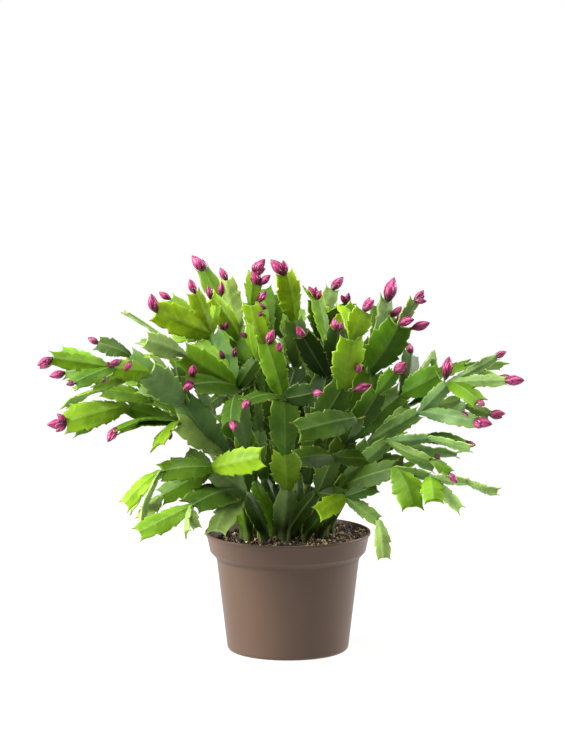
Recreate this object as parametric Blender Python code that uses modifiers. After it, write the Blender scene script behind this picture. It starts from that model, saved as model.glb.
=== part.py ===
"""Potted holiday cactus: a brown nursery pot, its soil, leafy stems of flat toothed pads, and flower buds.

Metres, +Z up. The origin is the centre of the pot's flat base, and the viewer stands on the -Y side.
A stem is a chain of pads, each growing from the end of the one before, fused into one solid.
"""

import math
import random

import bpy
import bmesh
from mathutils import Quaternion, Vector
from mathutils.bvhtree import BVHTree

MM = 0.001
GAP = 0.3 * MM
SEED = 12

# Pot
POT_HEIGHT = 88 * MM
RIM_RADIUS = 60 * MM
LIP_HEIGHT = 2 * MM
LIP_REACH = 0.7 * MM
COLLAR_FOOT_RADIUS = 57.2 * MM
COLLAR_HEIGHT = 15.5 * MM
SHOULDER_HEIGHT = 4.5 * MM
BODY_TOP_RADIUS = 52.4 * MM
BODY_FOOT_RADIUS = 44.6 * MM
HEEL = 2.4 * MM
WALL = 1.3 * MM
STEP = 1.2 * MM
INNER_WALL_START = 13
POT_SIDES = 32
DRAIN_COUNT = 4
DRAIN_RADIUS = 4 * MM
DRAIN_RING = 28 * MM
DRAIN_SIDES = 6

# Soil
SOIL_TOP = 83 * MM
SOIL_RELIEF = 1.2 * MM
SOIL_SIDES = 24
SOIL_RINGS = 4
BRINK_RADIUS = 56 * MM
SOIL_RISE = 3.8 * MM
SOIL_FRONT_RISE = 1.5 * MM
POST_RADIUS = 3.0 * MM
POST_DEPTH = 12 * MM
POST_RISE = 8 * MM
POST_SIDES = 6
HOLE_CLEARANCE = 0.5 * MM
HOLE_SIDES = 6
DRILL_RISE = 8 * MM
DRAIN_DRILL_DEPTH = 12 * MM

# Room that pads keep from the soil's top and from the rim
SOIL_ROOM = 0.8 * MM
RIM_ROOM = 1.5 * MM
RIM_ROOM_TOP = 1 * MM
RIM_ROOM_INSIDE = 2 * MM
RIM_ROOM_FOOT = 50 * MM
ROOM_SIDES = 24
POT_CENTRE = Vector((0, 0, 80 * MM))
POT_REACH = 90 * MM

# Pads
NECK_HALF_WIDTH = 2.1 * MM
NECK_HALF_THICK = 1.2 * MM
RIB_HALF_THICK = 1.3 * MM
OLD_RIB_HALF_THICK = 2.4 * MM
OLD_EDGE_HALF_THICK = 1.1 * MM
END_HALF_THICK = 1.3 * MM
END_EDGE_HALF_THICK = 0.9 * MM
EDGE_HALF_THICK = 0.5 * MM
SUNK = 3.4 * MM
ARCH = 0.06
FOLD = 0.10
STAGGER = 0.06
CLEARANCE = 0.6 * MM
FACE_UP = 0.5
FACE_OUT = 0.55
ROLL_SPREAD = 12
EDGE_ON = 50
LEAST_SHOWN = 0.72
BROADER = 1.08
MAX_BEND = math.radians(68)
MAX_TWIST = math.radians(75)

# Outline of each kind of pad, from the neck on: share of the length, share of the half width, whether it is
# the point of a tooth, and the number of the rib point that it is joined to. Then the rib's own shares.
OUTLINES = {
    "large": (
        ((0.13, 0.48, False, 1), (0.44, 0.94, True, 1), (0.47, 0.75, False, 2), (0.74, 1.00, True, 2),
         (0.77, 0.76, False, 2), (1.04, 0.68, True, 2), (0.95, 0.20, False, 3)),
        (0.34, 0.68, 0.95),
    ),
    "small": (
        ((0.17, 0.54, False, 1), (0.62, 1.00, True, 1), (0.66, 0.72, False, 1), (1.04, 0.76, True, 1),
         (0.95, 0.26, False, 2)),
        (0.50, 0.95),
    ),
    "old": (
        ((0.12, 0.84, False, 1), (0.72, 1.00, False, 1), (0.98, 0.56, False, 2)),
        (0.50, 0.98),
    ),
}

# How the photo looks at the plant: from this far and this high, with this many metres to a pixel of it at the
# pot's axis. Places on the seen side are given as the pixel across and down, and mm in front of the axis.
SIGHT_DISTANCE = 3000 * MM
SIGHT_ELEVATION = math.radians(8.5)
SIGHT_TARGET = Vector((-4 * MM, 0.0, 203 * MM))
PIXEL = 0.73 * MM
PHOTO_CENTRE = (282.5, 376.0)
DEPTH_SPREAD = 1.2

# Stems of the seen side: where the root stands in the soil, then the pads. Each pad has its name, the pad that
# it grows from, the pixel and the depth where it ends, its width in mm, its turn about its length and kind.
STEMS = {
    "left_long": ((-19, -2), (
        ("base", "", 246, 492, 10, 9, 50, "old"),
        ("rise", "base", 224, 452, 20, 16, 10, "large"),
        ("arm", "rise", 183, 402, 32, 21, -15, "large"),
        ("arm_front", "arm", 148, 372, 48, 19, 10, "large"),
        ("arm_back", "arm", 128, 354, 24, 16, -20, "large"),
        ("arm_tip", "arm_back", 97, 343, 16, 12, 20, "small"),
        ("reach", "arm_front", 112, 368, 54, 14, 0, "large"),
        ("reach_tip", "reach", 50, 358, 60, 12, 10, "small"),
        ("reach_low", "reach", 73, 384, 70, 11, 15, "small"),
        ("level", "rise", 176, 422, 38, 15, 15, "large"),
        ("level_out", "level", 126, 407, 44, 13, 0, "large"),
        ("level_broad", "level_out", 63, 424, 52, 19, 0, "large"),
        ("level_thin", "level_out", 68, 408, 26, 9, 20, "small"),
        ("level_low", "level", 113, 430, 62, 12, 65, "small"),
        ("level_hung", "level", 157, 446, 66, 12, 30, "small"),
    )),
    "left_low": ((-17, -14), (
        ("base", "", 244, 492, 22, 10, 30, "old"),
        ("side", "base", 212, 468, 50, 17, 10, "large"),
        ("side_out", "side", 160, 472, 60, 16, 10, "large"),
        ("side_end", "side_out", 124, 506, 64, 11, 20, "small"),
        ("side_edge", "side_out", 139, 531, 76, 16, 72, "large"),
        ("side_dark", "side", 160, 497, 44, 16, 0, "large"),
        ("bright", "side", 263, 457, 74, 15, 0, "large"),
        ("drop", "base", 190, 507, 72, 18, 0, "large"),
        ("drop_out", "drop", 137, 534, 86, 15, 0, "large"),
        ("drop_edge", "drop", 186, 534, 90, 14, 65, "small"),
        ("over_rim", "base", 216, 534, 62, 14, 20, "small"),
    )),
    "upper_left": ((-11, 7), (
        ("base", "", 253, 480, 0, 10, 40, "old"),
        ("rise", "base", 243, 432, 6, 17, 20, "large"),
        ("high", "rise", 238, 388, 14, 20, 10, "large"),
        ("broad", "high", 182, 353, 30, 20, 5, "large"),
        ("broad_end", "broad", 145, 340, 38, 15, -10, "large"),
        ("broad_edge", "broad", 125, 312, 20, 12, 72, "small"),
        ("low", "high", 190, 386, 46, 20, 20, "large"),
        ("top", "high", 211, 334, -4, 18, 0, "large"),
        ("top_left", "top", 153, 311, 8, 20, 0, "large"),
        ("top_thin", "top", 169, 298, -14, 11, 45, "small"),
        ("top_right", "top", 194, 291, -2, 13, 40, "small"),
    )),
    "top_left": ((-5, 16), (
        ("base", "", 264, 478, -18, 10, 30, "old"),
        ("rise", "base", 254, 430, -26, 18, 30, "large"),
        ("high", "rise", 248, 384, -30, 20, 10, "large"),
        ("higher", "high", 238, 338, -34, 18, -10, "large"),
        ("top_mid", "higher", 226, 277, -34, 15, 10, "large"),
        ("top_low", "higher", 209, 297, -22, 13, 30, "small"),
        ("top_out", "higher", 202, 267, -50, 13, 20, "small"),
        ("front", "high", 226, 362, -6, 13, 10, "small"),
    )),
    "top_middle": ((2, 6), (
        ("base", "", 284, 480, -8, 10, 60, "old"),
        ("rise", "base", 281, 432, -14, 18, 30, "large"),
        ("left", "rise", 267, 388, -14, 20, 20, "large"),
        ("left_high", "left", 265, 345, -10, 18, 0, "large"),
        ("left_top", "left_high", 251, 303, -2, 15, 0, "large"),
        ("left_tip", "left_top", 254, 272, 2, 12, 10, "small"),
        ("left_dark", "left_high", 263, 287, -32, 16, 20, "large"),
        ("right", "rise", 297, 366, -30, 20, -15, "large"),
        ("right_high", "right", 294, 319, -26, 18, 10, "large"),
        ("right_top", "right_high", 285, 272, -20, 17, 0, "large"),
    )),
    "centre_front": ((-4, -12), (
        ("base", "", 287, 488, 20, 15, 10, "old"),
        ("rise", "base", 285, 452, 34, 18, 0, "large"),
        ("high", "rise", 284, 398, 46, 20, 0, "large"),
        ("broad", "high", 266, 341, 42, 18, 0, "large"),
        ("left", "high", 246, 402, 64, 13, 35, "small"),
        ("right", "high", 315, 392, 62, 13, 30, "small"),
    )),
    "left_inner": ((-29, -11), (
        ("base", "", 242, 502, 26, 8, 10, "old"),
        ("rise", "base", 246, 448, 36, 12, 20, "large"),
        ("high", "rise", 236, 396, 40, 13, 20, "large"),
        ("hung", "high", 231, 424, 66, 13, 10, "small"),
    )),
    "right_high": ((7, -5), (
        ("base", "", 308, 482, 22, 10, 30, "old"),
        ("rise", "base", 314, 433, 26, 18, 0, "large"),
        ("side", "rise", 343, 386, 36, 21, 10, "large"),
        ("broad", "side", 352, 337, 42, 22, 0, "large"),
        ("broad_top", "broad", 364, 310, 36, 17, 10, "large"),
        ("inner", "rise", 326, 376, 10, 22, 0, "large"),
        ("inner_right", "inner", 338, 329, 4, 17, 15, "large"),
        ("inner_left", "inner", 302, 335, 20, 16, -20, "large"),
    )),
    "top_right": ((8, 16), (
        ("base", "", 300, 474, -34, 10, 20, "old"),
        ("rise", "base", 308, 424, -44, 18, 20, "large"),
        ("high", "rise", 314, 374, -50, 20, 10, "large"),
        ("higher", "high", 318, 331, -48, 18, 0, "large"),
        ("top", "higher", 316, 297, -42, 15, 0, "small"),
        ("top_out", "higher", 332, 288, -60, 13, 10, "small"),
    )),
    "right_back": ((17, 6), (
        ("base", "", 328, 486, -8, 10, 20, "old"),
        ("rise", "base", 348, 438, -6, 18, 0, "large"),
        ("high", "rise", 370, 370, -6, 22, 10, "large"),
        ("broad", "high", 400, 323, 4, 25, 0, "large"),
        ("broad_tip", "broad", 415, 300, 2, 9, 20, "small"),
        ("thin", "high", 387, 297, -20, 13, 15, "large"),
        ("side", "rise", 403, 393, 10, 19, 0, "large"),
        ("side_bright", "side", 440, 374, 20, 18, 0, "large"),
        ("side_top", "side", 411, 353, -8, 14, 10, "small"),
        ("side_edge", "side", 430, 359, -28, 13, 55, "small"),
    )),
    "right_inner": ((13, -15), (
        ("base", "", 326, 486, 20, 10, 10, "old"),
        ("rise", "base", 346, 440, 38, 17, 0, "large"),
        ("grey", "rise", 379, 391, 42, 18, 0, "large"),
        ("grey_tip", "grey", 395, 371, 46, 12, 10, "small"),
        ("forward", "rise", 355, 418, 56, 13, 10, "small"),
        ("curled", "forward", 296, 432, 80, 17, 0, "large"),
    )),
    "right_long": ((26, -3), (
        ("base", "", 334, 494, 12, 10, 10, "old"),
        ("rise", "base", 371, 441, 20, 14, 0, "large"),
        ("arm", "rise", 420, 412, 28, 12, 10, "large"),
        ("fork", "arm", 449, 383, 32, 11, 0, "large"),
        ("end_level", "fork", 509, 381, 46, 8, 20, "small"),
        ("end_high", "fork", 498, 356, 20, 7, 20, "small"),
        ("end_low", "fork", 480, 403, 58, 11, 10, "small"),
        ("under_back", "arm", 466, 406, 6, 8, 50, "small"),
        ("under", "arm", 478, 422, 52, 9, 20, "large"),
    )),
    "right_low": ((23, -15), (
        ("base", "", 346, 474, 30, 10, 10, "old"),
        ("rise", "base", 388, 441, 48, 11, 10, "large"),
        ("out", "rise", 430, 438, 54, 8, 50, "large"),
        ("out_end", "out", 472, 449, 60, 8, 50, "small"),
        ("under", "rise", 433, 461, 70, 8, 50, "large"),
        ("under_end", "under", 450, 474, 76, 8, 10, "small"),
    )),
    "right_lowest": ((13, -26), (
        ("base", "", 340, 488, 36, 10, 10, "old"),
        ("rise", "base", 396, 468, 64, 13, 0, "large"),
        ("out", "rise", 430, 477, 70, 9, 50, "small"),
        ("out_far", "out", 468, 482, 74, 8, 50, "small"),
        ("out_end", "out_far", 499, 492, 76, 8, 50, "small"),
        ("hung_bright", "rise", 413, 509, 84, 16, 0, "small"),
        ("hung_mid", "out", 434, 502, 88, 12, 10, "small"),
        ("hung_pale", "out", 461, 511, 80, 11, 65, "small"),
    )),
    "front_right": ((2, -22), (
        ("base", "", 318, 492, 34, 10, 0, "old"),
        ("forward", "base", 345, 497, 48, 12, 10, "small"),
        ("over_rim", "forward", 379, 521, 60, 10, 20, "small"),
        ("below_rim", "over_rim", 384, 560, 66, 12, 10, "small"),
        ("bright", "forward", 317, 514, 58, 14, 0, "small"),
        ("rise", "base", 333, 457, 50, 14, 0, "large"),
        ("curled", "rise", 297, 459, 72, 14, 10, "large"),
    )),
}

# Bud clusters of the seen side: the stem and pad, then each bud as its length in mm and its lean from the
# pad's line, to the viewer's right of it and up, in degrees. Where the pad's end carries another pad, the
# cluster sits on the corner that CORNERS names: 1 and -1 are the two sides of the pad.
CORNERS = {
    ("top_middle", "left_top"): 1,
    ("right_high", "side"): 1,
    ("right_back", "broad"): 1,
    ("right_long", "fork"): -1,
}
BUDS = (
    ("left_long", "arm_tip", ((9, 0, 10),)),
    ("left_long", "reach_tip", ((13, 0, -40), (9, 10, -75))),
    ("left_long", "reach_low", ((7, 0, 10),)),
    ("left_long", "level_broad", ((13, 0, 10), (9, 0, -35), (9, 20, 45))),
    ("left_long", "level_low", ((12, 20, -40),)),
    ("upper_left", "low", ((10, 0, -20), (8, 0, 30))),
    ("upper_left", "top_left", ((14, 35, 30),)),
    ("upper_left", "top_right", ((11, 0, 0),)),
    ("top_left", "top_mid", ((10, -20, 0),)),
    ("top_left", "front", ((10, 0, 10), (8, 30, 20))),
    ("top_left", "top_out", ((14, -15, 0), (8, 20, 10))),
    ("top_middle", "left_top", ((9, 25, 0),)),
    ("top_middle", "left_tip", ((13, 35, 0), (9, 75, -20), (8, 10, 10))),
    ("top_middle", "right_top", ((15, -40, 0), (10, 0, 0))),
    ("centre_front", "broad", ((11, 40, 0), (9, 75, -10))),
    ("centre_front", "left", ((10, 30, -20),)),
    ("centre_front", "right", ((9, -10, -10),)),
    ("left_inner", "hung", ((10, 20, 0),)),
    ("right_high", "broad_top", ((11, 0, 0), (9, 40, 10))),
    ("right_high", "side", ((12, 70, 10),)),
    ("right_high", "inner_right", ((10, -30, 0), (8, 20, 0))),
    ("right_high", "inner_left", ((10, 0, 0),)),
    ("top_right", "top", ((11, -30, 0), (9, 0, 0))),
    ("top_right", "top_out", ((13, 30, 0),)),
    ("right_back", "broad", ((12, 40, 0),)),
    ("right_back", "thin", ((18, 5, 0),)),
    ("right_back", "broad_tip", ((10, 10, 0), (8, 50, 0))),
    ("right_back", "side_top", ((10, -20, 0),)),
    ("right_inner", "grey_tip", ((11, 20, 0), (9, 60, 0))),
    ("right_long", "end_level", ((14, 0, 0),)),
    ("right_long", "end_high", ((9, 0, 0),)),
    ("right_long", "end_low", ((8, 0, 0),)),
    ("right_long", "fork", ((15, 0, 30),)),
    ("right_long", "under", ((14, 0, 0), (10, -30, -10))),
    ("right_low", "under_end", ((9, 0, -20),)),
)

# Stems of the far side, by rule. Each has the direction it leans to, in degrees round from the viewer's right,
# how high it arches, and how far from the pot's axis its root stands.
FAR_STEMS = {
    "far_right": (12, 0.25, 32),
    "far_right_high": (50, 0.75, 28),
    "far_middle": (82, 0.22, 33),
    "far_middle_high": (112, 0.85, 30),
    "far_left": (140, 0.30, 34),
    "far_left_low": (172, 0.10, 33),
}
FAR_PADS = (
    # name, parent, low and high rise in degrees, swing in degrees, length, width and kind
    ("base", "", 68, 82, 0, 38, 11, "old"),
    ("rise", "base", 52, 76, 4, 42, 22, "large"),
    ("left", "rise", 34, 70, 26, 42, 23, "large"),
    ("right", "rise", 40, 64, -28, 42, 23, "large"),
    ("left_out", "left", 4, 52, 14, 38, 20, "large"),
    ("right_out", "right", 14, 42, -14, 38, 19, "large"),
    ("left_end", "left_out", -30, 28, -14, 32, 14, "small"),
    ("right_end", "right_out", -18, 18, 18, 32, 14, "small"),
    ("low", "base", 4, 22, -44, 38, 19, "small"),
)
FAR_BUDS = (
    ("far_right", "left_end", ((13, 0, 0),)),
    ("far_middle", "left_end", ((12, 20, 0), (9, -20, 0))),
)

# Ways to bend a pad clear of the others: how far its end moves in mm and how far it turns in degrees.
SHIFTS = (0, 6, -6, 12, -12, 19, -19, 27, -27, 36, -36)
TURNS = (0, 20, -20, 42, -42)
SHIFT_COST = 1 / 10
TURN_COST = 1 / 24

# Bud
BUD_SIDES = 5
BUD_PROFILE = ((0.00, 0.48), (0.42, 1.00), (0.80, 0.62))
BUD_SLENDERNESS = 0.21
BUD_MAX_LEAN = 60
BUD_CORNER_LEAN = 0.6
BUD_LEAST_ALONG = 0.25
BUD_AWAY_STEPS = (0.6, 1.2)
BUD_ROOM = 2 * MM

LEAF_GREEN = (0.10, 0.27, 0.035, 1)
BUD_PINK = (0.47, 0.03, 0.19, 1)
SOIL_BROWN = (0.045, 0.026, 0.015, 1)
POT_BROWN = (0.17, 0.105, 0.075, 1)


def clear_scene():
    for thing in list(bpy.data.objects):
        bpy.data.objects.remove(thing)


def new_collection(name):
    group = bpy.data.collections.new(name)
    bpy.context.scene.collection.children.link(group)
    return group


def material(name, color, roughness):
    made = bpy.data.materials.new(name)
    made.use_nodes = True
    shader = made.node_tree.nodes["Principled BSDF"]
    shader.inputs["Base Color"].default_value = color
    shader.inputs["Roughness"].default_value = roughness
    return made


def add_object(name, points, faces, group):
    mesh = bpy.data.meshes.new(name)
    mesh.from_pydata([tuple(p) for p in points], [], faces)
    thing = bpy.data.objects.new(name, mesh)
    group.objects.link(thing)
    return thing


def tidy(mesh, reach=0.001 * MM):
    """Weld points that lie together, cut all faces into triangles and turn them outward."""
    work = bmesh.new()
    work.from_mesh(mesh)
    bmesh.ops.remove_doubles(work, verts=work.verts, dist=reach)
    bmesh.ops.triangulate(work, faces=work.faces)
    bmesh.ops.recalc_face_normals(work, faces=work.faces)
    work.to_mesh(mesh)
    work.free()


def apply_all(thing):
    """Turn the object's live modifiers into its own mesh."""
    seen = thing.evaluated_get(bpy.context.evaluated_depsgraph_get())
    mesh = bpy.data.meshes.new_from_object(seen)
    thing.modifiers.clear()
    thing.data = mesh
    return thing


def join_group(thing, group, operation="UNION"):
    """Boolean of the object with everything in the collection, which is then emptied and removed."""
    step = thing.modifiers.new("join", "BOOLEAN")
    step.operation = operation
    step.operand_type = "COLLECTION"
    step.collection = group
    step.solver = "MANIFOLD"
    bpy.context.view_layer.update()
    apply_all(thing)
    for other in list(group.objects):
        bpy.data.objects.remove(other)
    bpy.data.collections.remove(group)
    tidy(thing.data)
    return thing


def sight_axes():
    toward = Vector((0, -math.cos(SIGHT_ELEVATION), math.sin(SIGHT_ELEVATION)))
    up = Vector((0, math.sin(SIGHT_ELEVATION), math.cos(SIGHT_ELEVATION)))
    return toward, up


def sight_point(across, down, near):
    """The place that shows at a pixel of the photo, this many mm in front of the pot's axis."""
    toward, up = sight_axes()
    eye = SIGHT_TARGET + toward * SIGHT_DISTANCE
    right = (across - PHOTO_CENTRE[0]) * PIXEL
    rise = (PHOTO_CENTRE[1] - down) * PIXEL
    ray = SIGHT_TARGET + Vector((right, 0, 0)) + up * rise - eye
    return eye + ray * ((-near * DEPTH_SPREAD * MM - eye.y) / ray.y)


class Pad:
    """One pad: where it starts inside its parent, the joint, its end, the way it faces, its width and kind."""

    parent = ""

    def __init__(self, start, joint, end, facing, width, kind, arch):
        self.arch = arch
        self.start = start
        self.joint = joint
        self.end = end
        self.kind = kind
        self.half = width / 2
        self.length = (end - joint).length
        self.along = (end - joint).normalized()
        self.normal = (facing - self.along * facing.dot(self.along)).normalized()
        self.side = self.along.cross(self.normal)

    def place(self, share, across, height):
        """The point at a share of the length, metres across and metres off the arched, folded middle."""
        bounded = min(max(share, 0), 1)
        arch = self.arch * self.length * 4 * bounded * (1 - bounded)
        lift = height + arch - FOLD * abs(across)
        return self.joint + self.along * (share * self.length) + self.side * across + self.normal * lift

    def root_for_child(self):
        return self.place(1 - SUNK / self.length, 0, 0)


def start_section(points, pad, swell):
    """The slim lozenge that a chain's first pad starts with, sunk inside its parent."""
    thick = pad.normal * (NECK_HALF_THICK + swell)
    reach = pad.side * (NECK_HALF_WIDTH + swell)
    first = len(points)
    points.extend([pad.start + thick, pad.start - thick, pad.start + reach, pad.start - reach])
    return {"rib": (first, first + 1), 1: (first + 2, first + 2), -1: (first + 3, first + 3)}


def cap(faces, section, outward):
    """Closes a section: outward is -1 at a chain's start and 1 at its end."""
    c, d = section["rib"]
    for hand in (1, -1):
        a, b = section[hand]
        new = [face for face in ((a, b, c), (b, d, c)) if len(set(face)) == 3]
        if hand * outward < 0:
            new = [tuple(reversed(face)) for face in new]
        faces.extend(new)


def add_pad(points, faces, pad, section, swell=0.0):
    """Grows one pad's rib, rims and teeth on from a section. Returns the section at its far end."""
    outline, rib_shares = OUTLINES[pad.kind]
    old = pad.kind == "old"
    edge = (OLD_EDGE_HALF_THICK if old else EDGE_HALF_THICK) + swell
    rib = (OLD_RIB_HALF_THICK if old else RIB_HALF_THICK) + swell

    def pair(share, across, thick):
        points.append(pad.place(share, across, thick))
        points.append(pad.place(share, across, -thick))
        return len(points) - 2, len(points) - 1

    ribs = [section["rib"]]
    ribs += [pair(share, 0, rib) for share in rib_shares[:-1]]
    ribs.append(pair(rib_shares[-1], 0, END_HALF_THICK + swell))
    far = {"rib": ribs[-1]}
    for hand in (1, -1):
        rim = [section[hand]]
        joined = [0]
        for number, (share, wide, tooth, rib_number) in enumerate(outline):
            last = number == len(outline) - 1
            if hand < 0 and 0 < number < len(outline) - 2:
                share -= STAGGER
            across = wide * pad.half
            if last:
                across = max(across, NECK_HALF_WIDTH)
            across = hand * (across + swell)
            if tooth:
                points.append(pad.place(share, across, 0))
                rim.append((len(points) - 1, len(points) - 1))
            else:
                rim.append(pair(share, across, END_EDGE_HALF_THICK + swell if last else edge))
            joined.append(rib_number)
        for level in (0, 1):
            for k in range(len(rim) - 1):
                a, b = rim[k][level], rim[k + 1][level]
                c, d = ribs[joined[k]][level], ribs[joined[k + 1]][level]
                new = [(a, b, c)] if c == d else [(a, b, c), (b, d, c)]
                if (hand < 0) != (level == 1):
                    new = [tuple(reversed(face)) for face in new]
                faces.extend(new)
        for k in range(len(rim) - 1):
            (a, c), (b, d) = rim[k], rim[k + 1]
            new = [face for face in ((a, c, b), (b, c, d)) if len(set(face)) == 3]
            if hand < 0:
                new = [tuple(reversed(face)) for face in new]
            faces.extend(new)
        far[hand] = rim[-1]
    return far


def chain_shape(chain, swell=0.0):
    """Points and triangles of pads that grow straight on from one another, as one closed body."""
    points = []
    faces = []
    section = start_section(points, chain[0], swell)
    cap(faces, section, -1)
    for pad in chain:
        section = add_pad(points, faces, pad, section, swell)
    cap(faces, section, 1)
    return points, faces


def goes_straight_on(parent, child):
    """Whether a child can share its parent's end, which a sharp bend or twist would pinch."""
    bend = parent.along.angle(child.along)
    twist = parent.side.angle(child.side)
    return bend < MAX_BEND and twist < MAX_TWIST


def chains_of(pads):
    """Splits a stem into chains: each pad's straightest child goes on with its chain."""
    chains = {}
    order = []
    for label, pad in pads.items():
        parent = pad.parent
        if parent and chains[parent][-1] is pads[parent] and goes_straight_on(pads[parent], pad):
            chains[parent].append(pad)
            chains[label] = chains[parent]
        else:
            chains[label] = [pad]
            order.append(chains[label])
    return order


def pad_tree(pad, swell=0.0):
    points, faces = chain_shape([pad], swell)
    return BVHTree.FromPolygons(points, faces, all_triangles=True)


def turned(facing, along, degrees):
    return Quaternion(along, math.radians(degrees)) @ facing


class Placed:
    """Everything placed so far, each with the stem it belongs to, to keep later pads clear of it."""

    def __init__(self):
        self.items = []

    def add(self, stem, joints, tree, centre, reach):
        """Joints are the places where its neighbours on the same stem may touch it."""
        self.items.append((stem, joints, tree, centre, reach))

    def clashes(self, tree, centre, reach, stem=None, joint=None, own=False):
        """Number of others it cuts: those of other stems, or of its own away from its joint."""
        count = 0
        for other_stem, joints, other, other_centre, other_reach in self.items:
            if (other_stem == stem) != own:
                continue
            if own and any((place - joint).length < MM for place in joints):
                continue
            if (other_centre - centre).length > reach + other_reach:
                continue
            if tree.overlap(other):
                count += 1
        return count


def middle(pad):
    return (pad.start + pad.end) / 2, (pad.end - pad.start).length / 2 + pad.half


def soil_height(x, y):
    """The soil's top: highest at the viewer's right and front, with crumbly rises by a fixed mix of waves."""
    waves = math.sin(x * 310 + 1.1) * math.cos(y * 270 + 0.4) + 0.7 * math.sin(x * 520 - y * 430)
    slope = SOIL_RISE * x / RIM_RADIUS - SOIL_FRONT_RISE * y / RIM_RADIUS
    return SOIL_TOP + slope + SOIL_RELIEF * waves * 0.6


def pot_obstacle():
    """The soil's top and the pot's rim, a little swollen, which no pad may cut."""
    points = [Vector((0, 0, soil_height(0, 0) + SOIL_ROOM))]
    faces = []
    inside = RIM_RADIUS - RIM_ROOM_INSIDE
    outside = RIM_RADIUS + RIM_ROOM
    rim_top = POT_HEIGHT + RIM_ROOM_TOP
    rings = ((inside / 3, 0), (inside * 2 / 3, 0), (inside, 0), (inside, rim_top), (outside, rim_top),
             (outside, RIM_ROOM_FOOT))
    for radius, height in rings:
        for k in range(ROOM_SIDES):
            angle = 2 * math.pi * k / ROOM_SIDES
            x, y = radius * math.cos(angle), radius * math.sin(angle)
            points.append(Vector((x, y, height or soil_height(x, y) + SOIL_ROOM)))
    for k in range(ROOM_SIDES):
        after = (k + 1) % ROOM_SIDES
        faces.append((0, 1 + k, 1 + after))
        for ring in range(len(rings) - 1):
            low = 1 + ring * ROOM_SIDES
            high = low + ROOM_SIDES
            faces.append((low + k, high + k, low + after))
            faces.append((low + after, high + k, high + after))
    return BVHTree.FromPolygons(points, faces, all_triangles=True)


def place_pad(stem, label, start, joint, end, slide, facing, width, kind, arch, placed):
    """Bends the pad clear of all other stems, by the smallest move of its end and turn that does it."""
    choices = sorted(
        ((shift, turn) for shift in SHIFTS for turn in TURNS),
        key=lambda choice: abs(choice[0]) * SHIFT_COST + abs(choice[1]) * TURN_COST,
    )
    fallback = None
    for shift, turn in choices:
        moved = end + slide * (shift * MM)
        along = (moved - joint).normalized()
        pad = Pad(start, joint, moved, turned(facing, along, turn), width, kind, arch)
        tree = pad_tree(pad, CLEARANCE)
        centre, reach = middle(pad)
        if placed.clashes(tree, centre, reach, stem=stem):
            continue
        if not placed.clashes(tree, centre, reach, stem=stem, joint=joint, own=True):
            fallback = pad
            break
        fallback = fallback or pad
    if fallback is None:
        print("no room for", stem, label)
        return None
    centre, reach = middle(fallback)
    placed.add(stem, (joint, fallback.end), pad_tree(fallback), centre, reach)
    return fallback


def near_rows(name, joints):
    """The pads of a stem of the seen side, as ends, slides and facings."""
    toward, _up = sight_axes()
    for label, parent, across, down, near, width, roll, kind in STEMS[name][1]:
        if parent not in joints:
            continue
        end = sight_point(across, down, near)
        outward = (end + joints[parent]) / 2
        outward.z = 0
        facing = toward + Vector((0, 0, FACE_UP)) + outward.normalized() * FACE_OUT
        yield label, parent, end, toward, facing, roll, width * MM * BROADER, kind


def far_rows(name, joints):
    """The pads of a stem of the far side: each leaves its parent's end at a rise and a swing of its own."""
    lean, high, _reach = FAR_STEMS[name]
    chance = random.Random(SEED + len(name) * 7 + lean)
    for label, parent, low_rise, high_rise, swing, length, width, kind in FAR_PADS:
        rise = math.radians(low_rise + (high_rise - low_rise) * high + chance.uniform(-5, 5))
        round_way = math.radians(lean + swing + chance.uniform(-6, 6))
        if parent and parent not in joints:
            continue
        joint = joints[parent]
        out = Vector((math.cos(round_way), math.sin(round_way), 0))
        along = out * math.cos(rise) + Vector((0, 0, math.sin(rise)))
        end = joint + along * (length * MM * chance.uniform(0.92, 1.08))
        facing = Vector((0, 0, 1)) + out * 0.5
        slide = Vector((-out.y, out.x, 0))
        yield label, parent, end, slide, facing, chance.uniform(-30, 30), width * MM, kind


def ground_of(name):
    """Where a stem's root stands on the soil."""
    if name in FAR_STEMS:
        lean, _high, reach = FAR_STEMS[name]
        root_x = reach * math.cos(math.radians(lean)) * MM
        root_y = reach * math.sin(math.radians(lean)) * MM
    else:
        root_x, root_y = (value * MM for value in STEMS[name][0])
    return Vector((root_x, root_y, soil_height(root_x, root_y)))


def post_shape(ground):
    """The round woody foot of a stem, from its hole in the soil up into the first pad."""
    points = []
    for height in (-POST_DEPTH, POST_RISE):
        for k in range(POST_SIDES):
            angle = 2 * math.pi * k / POST_SIDES
            outward = Vector((math.cos(angle), math.sin(angle), 0)) * POST_RADIUS
            points.append(ground + outward + Vector((0, 0, height)))
    faces = [tuple(range(POST_SIDES - 1, -1, -1)), tuple(range(POST_SIDES, 2 * POST_SIDES))]
    for k in range(POST_SIDES):
        after = (k + 1) % POST_SIDES
        faces.append((k, after, POST_SIDES + after, POST_SIDES + k))
    return points, faces


def place_post(name, placed):
    ground = ground_of(name)
    top = ground + Vector((0, 0, POST_RISE))
    points, faces = post_shape(ground)
    tree = BVHTree.FromPolygons(points, faces)
    placed.add(name, (top,), tree, top, POST_RISE + POST_DEPTH)


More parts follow.
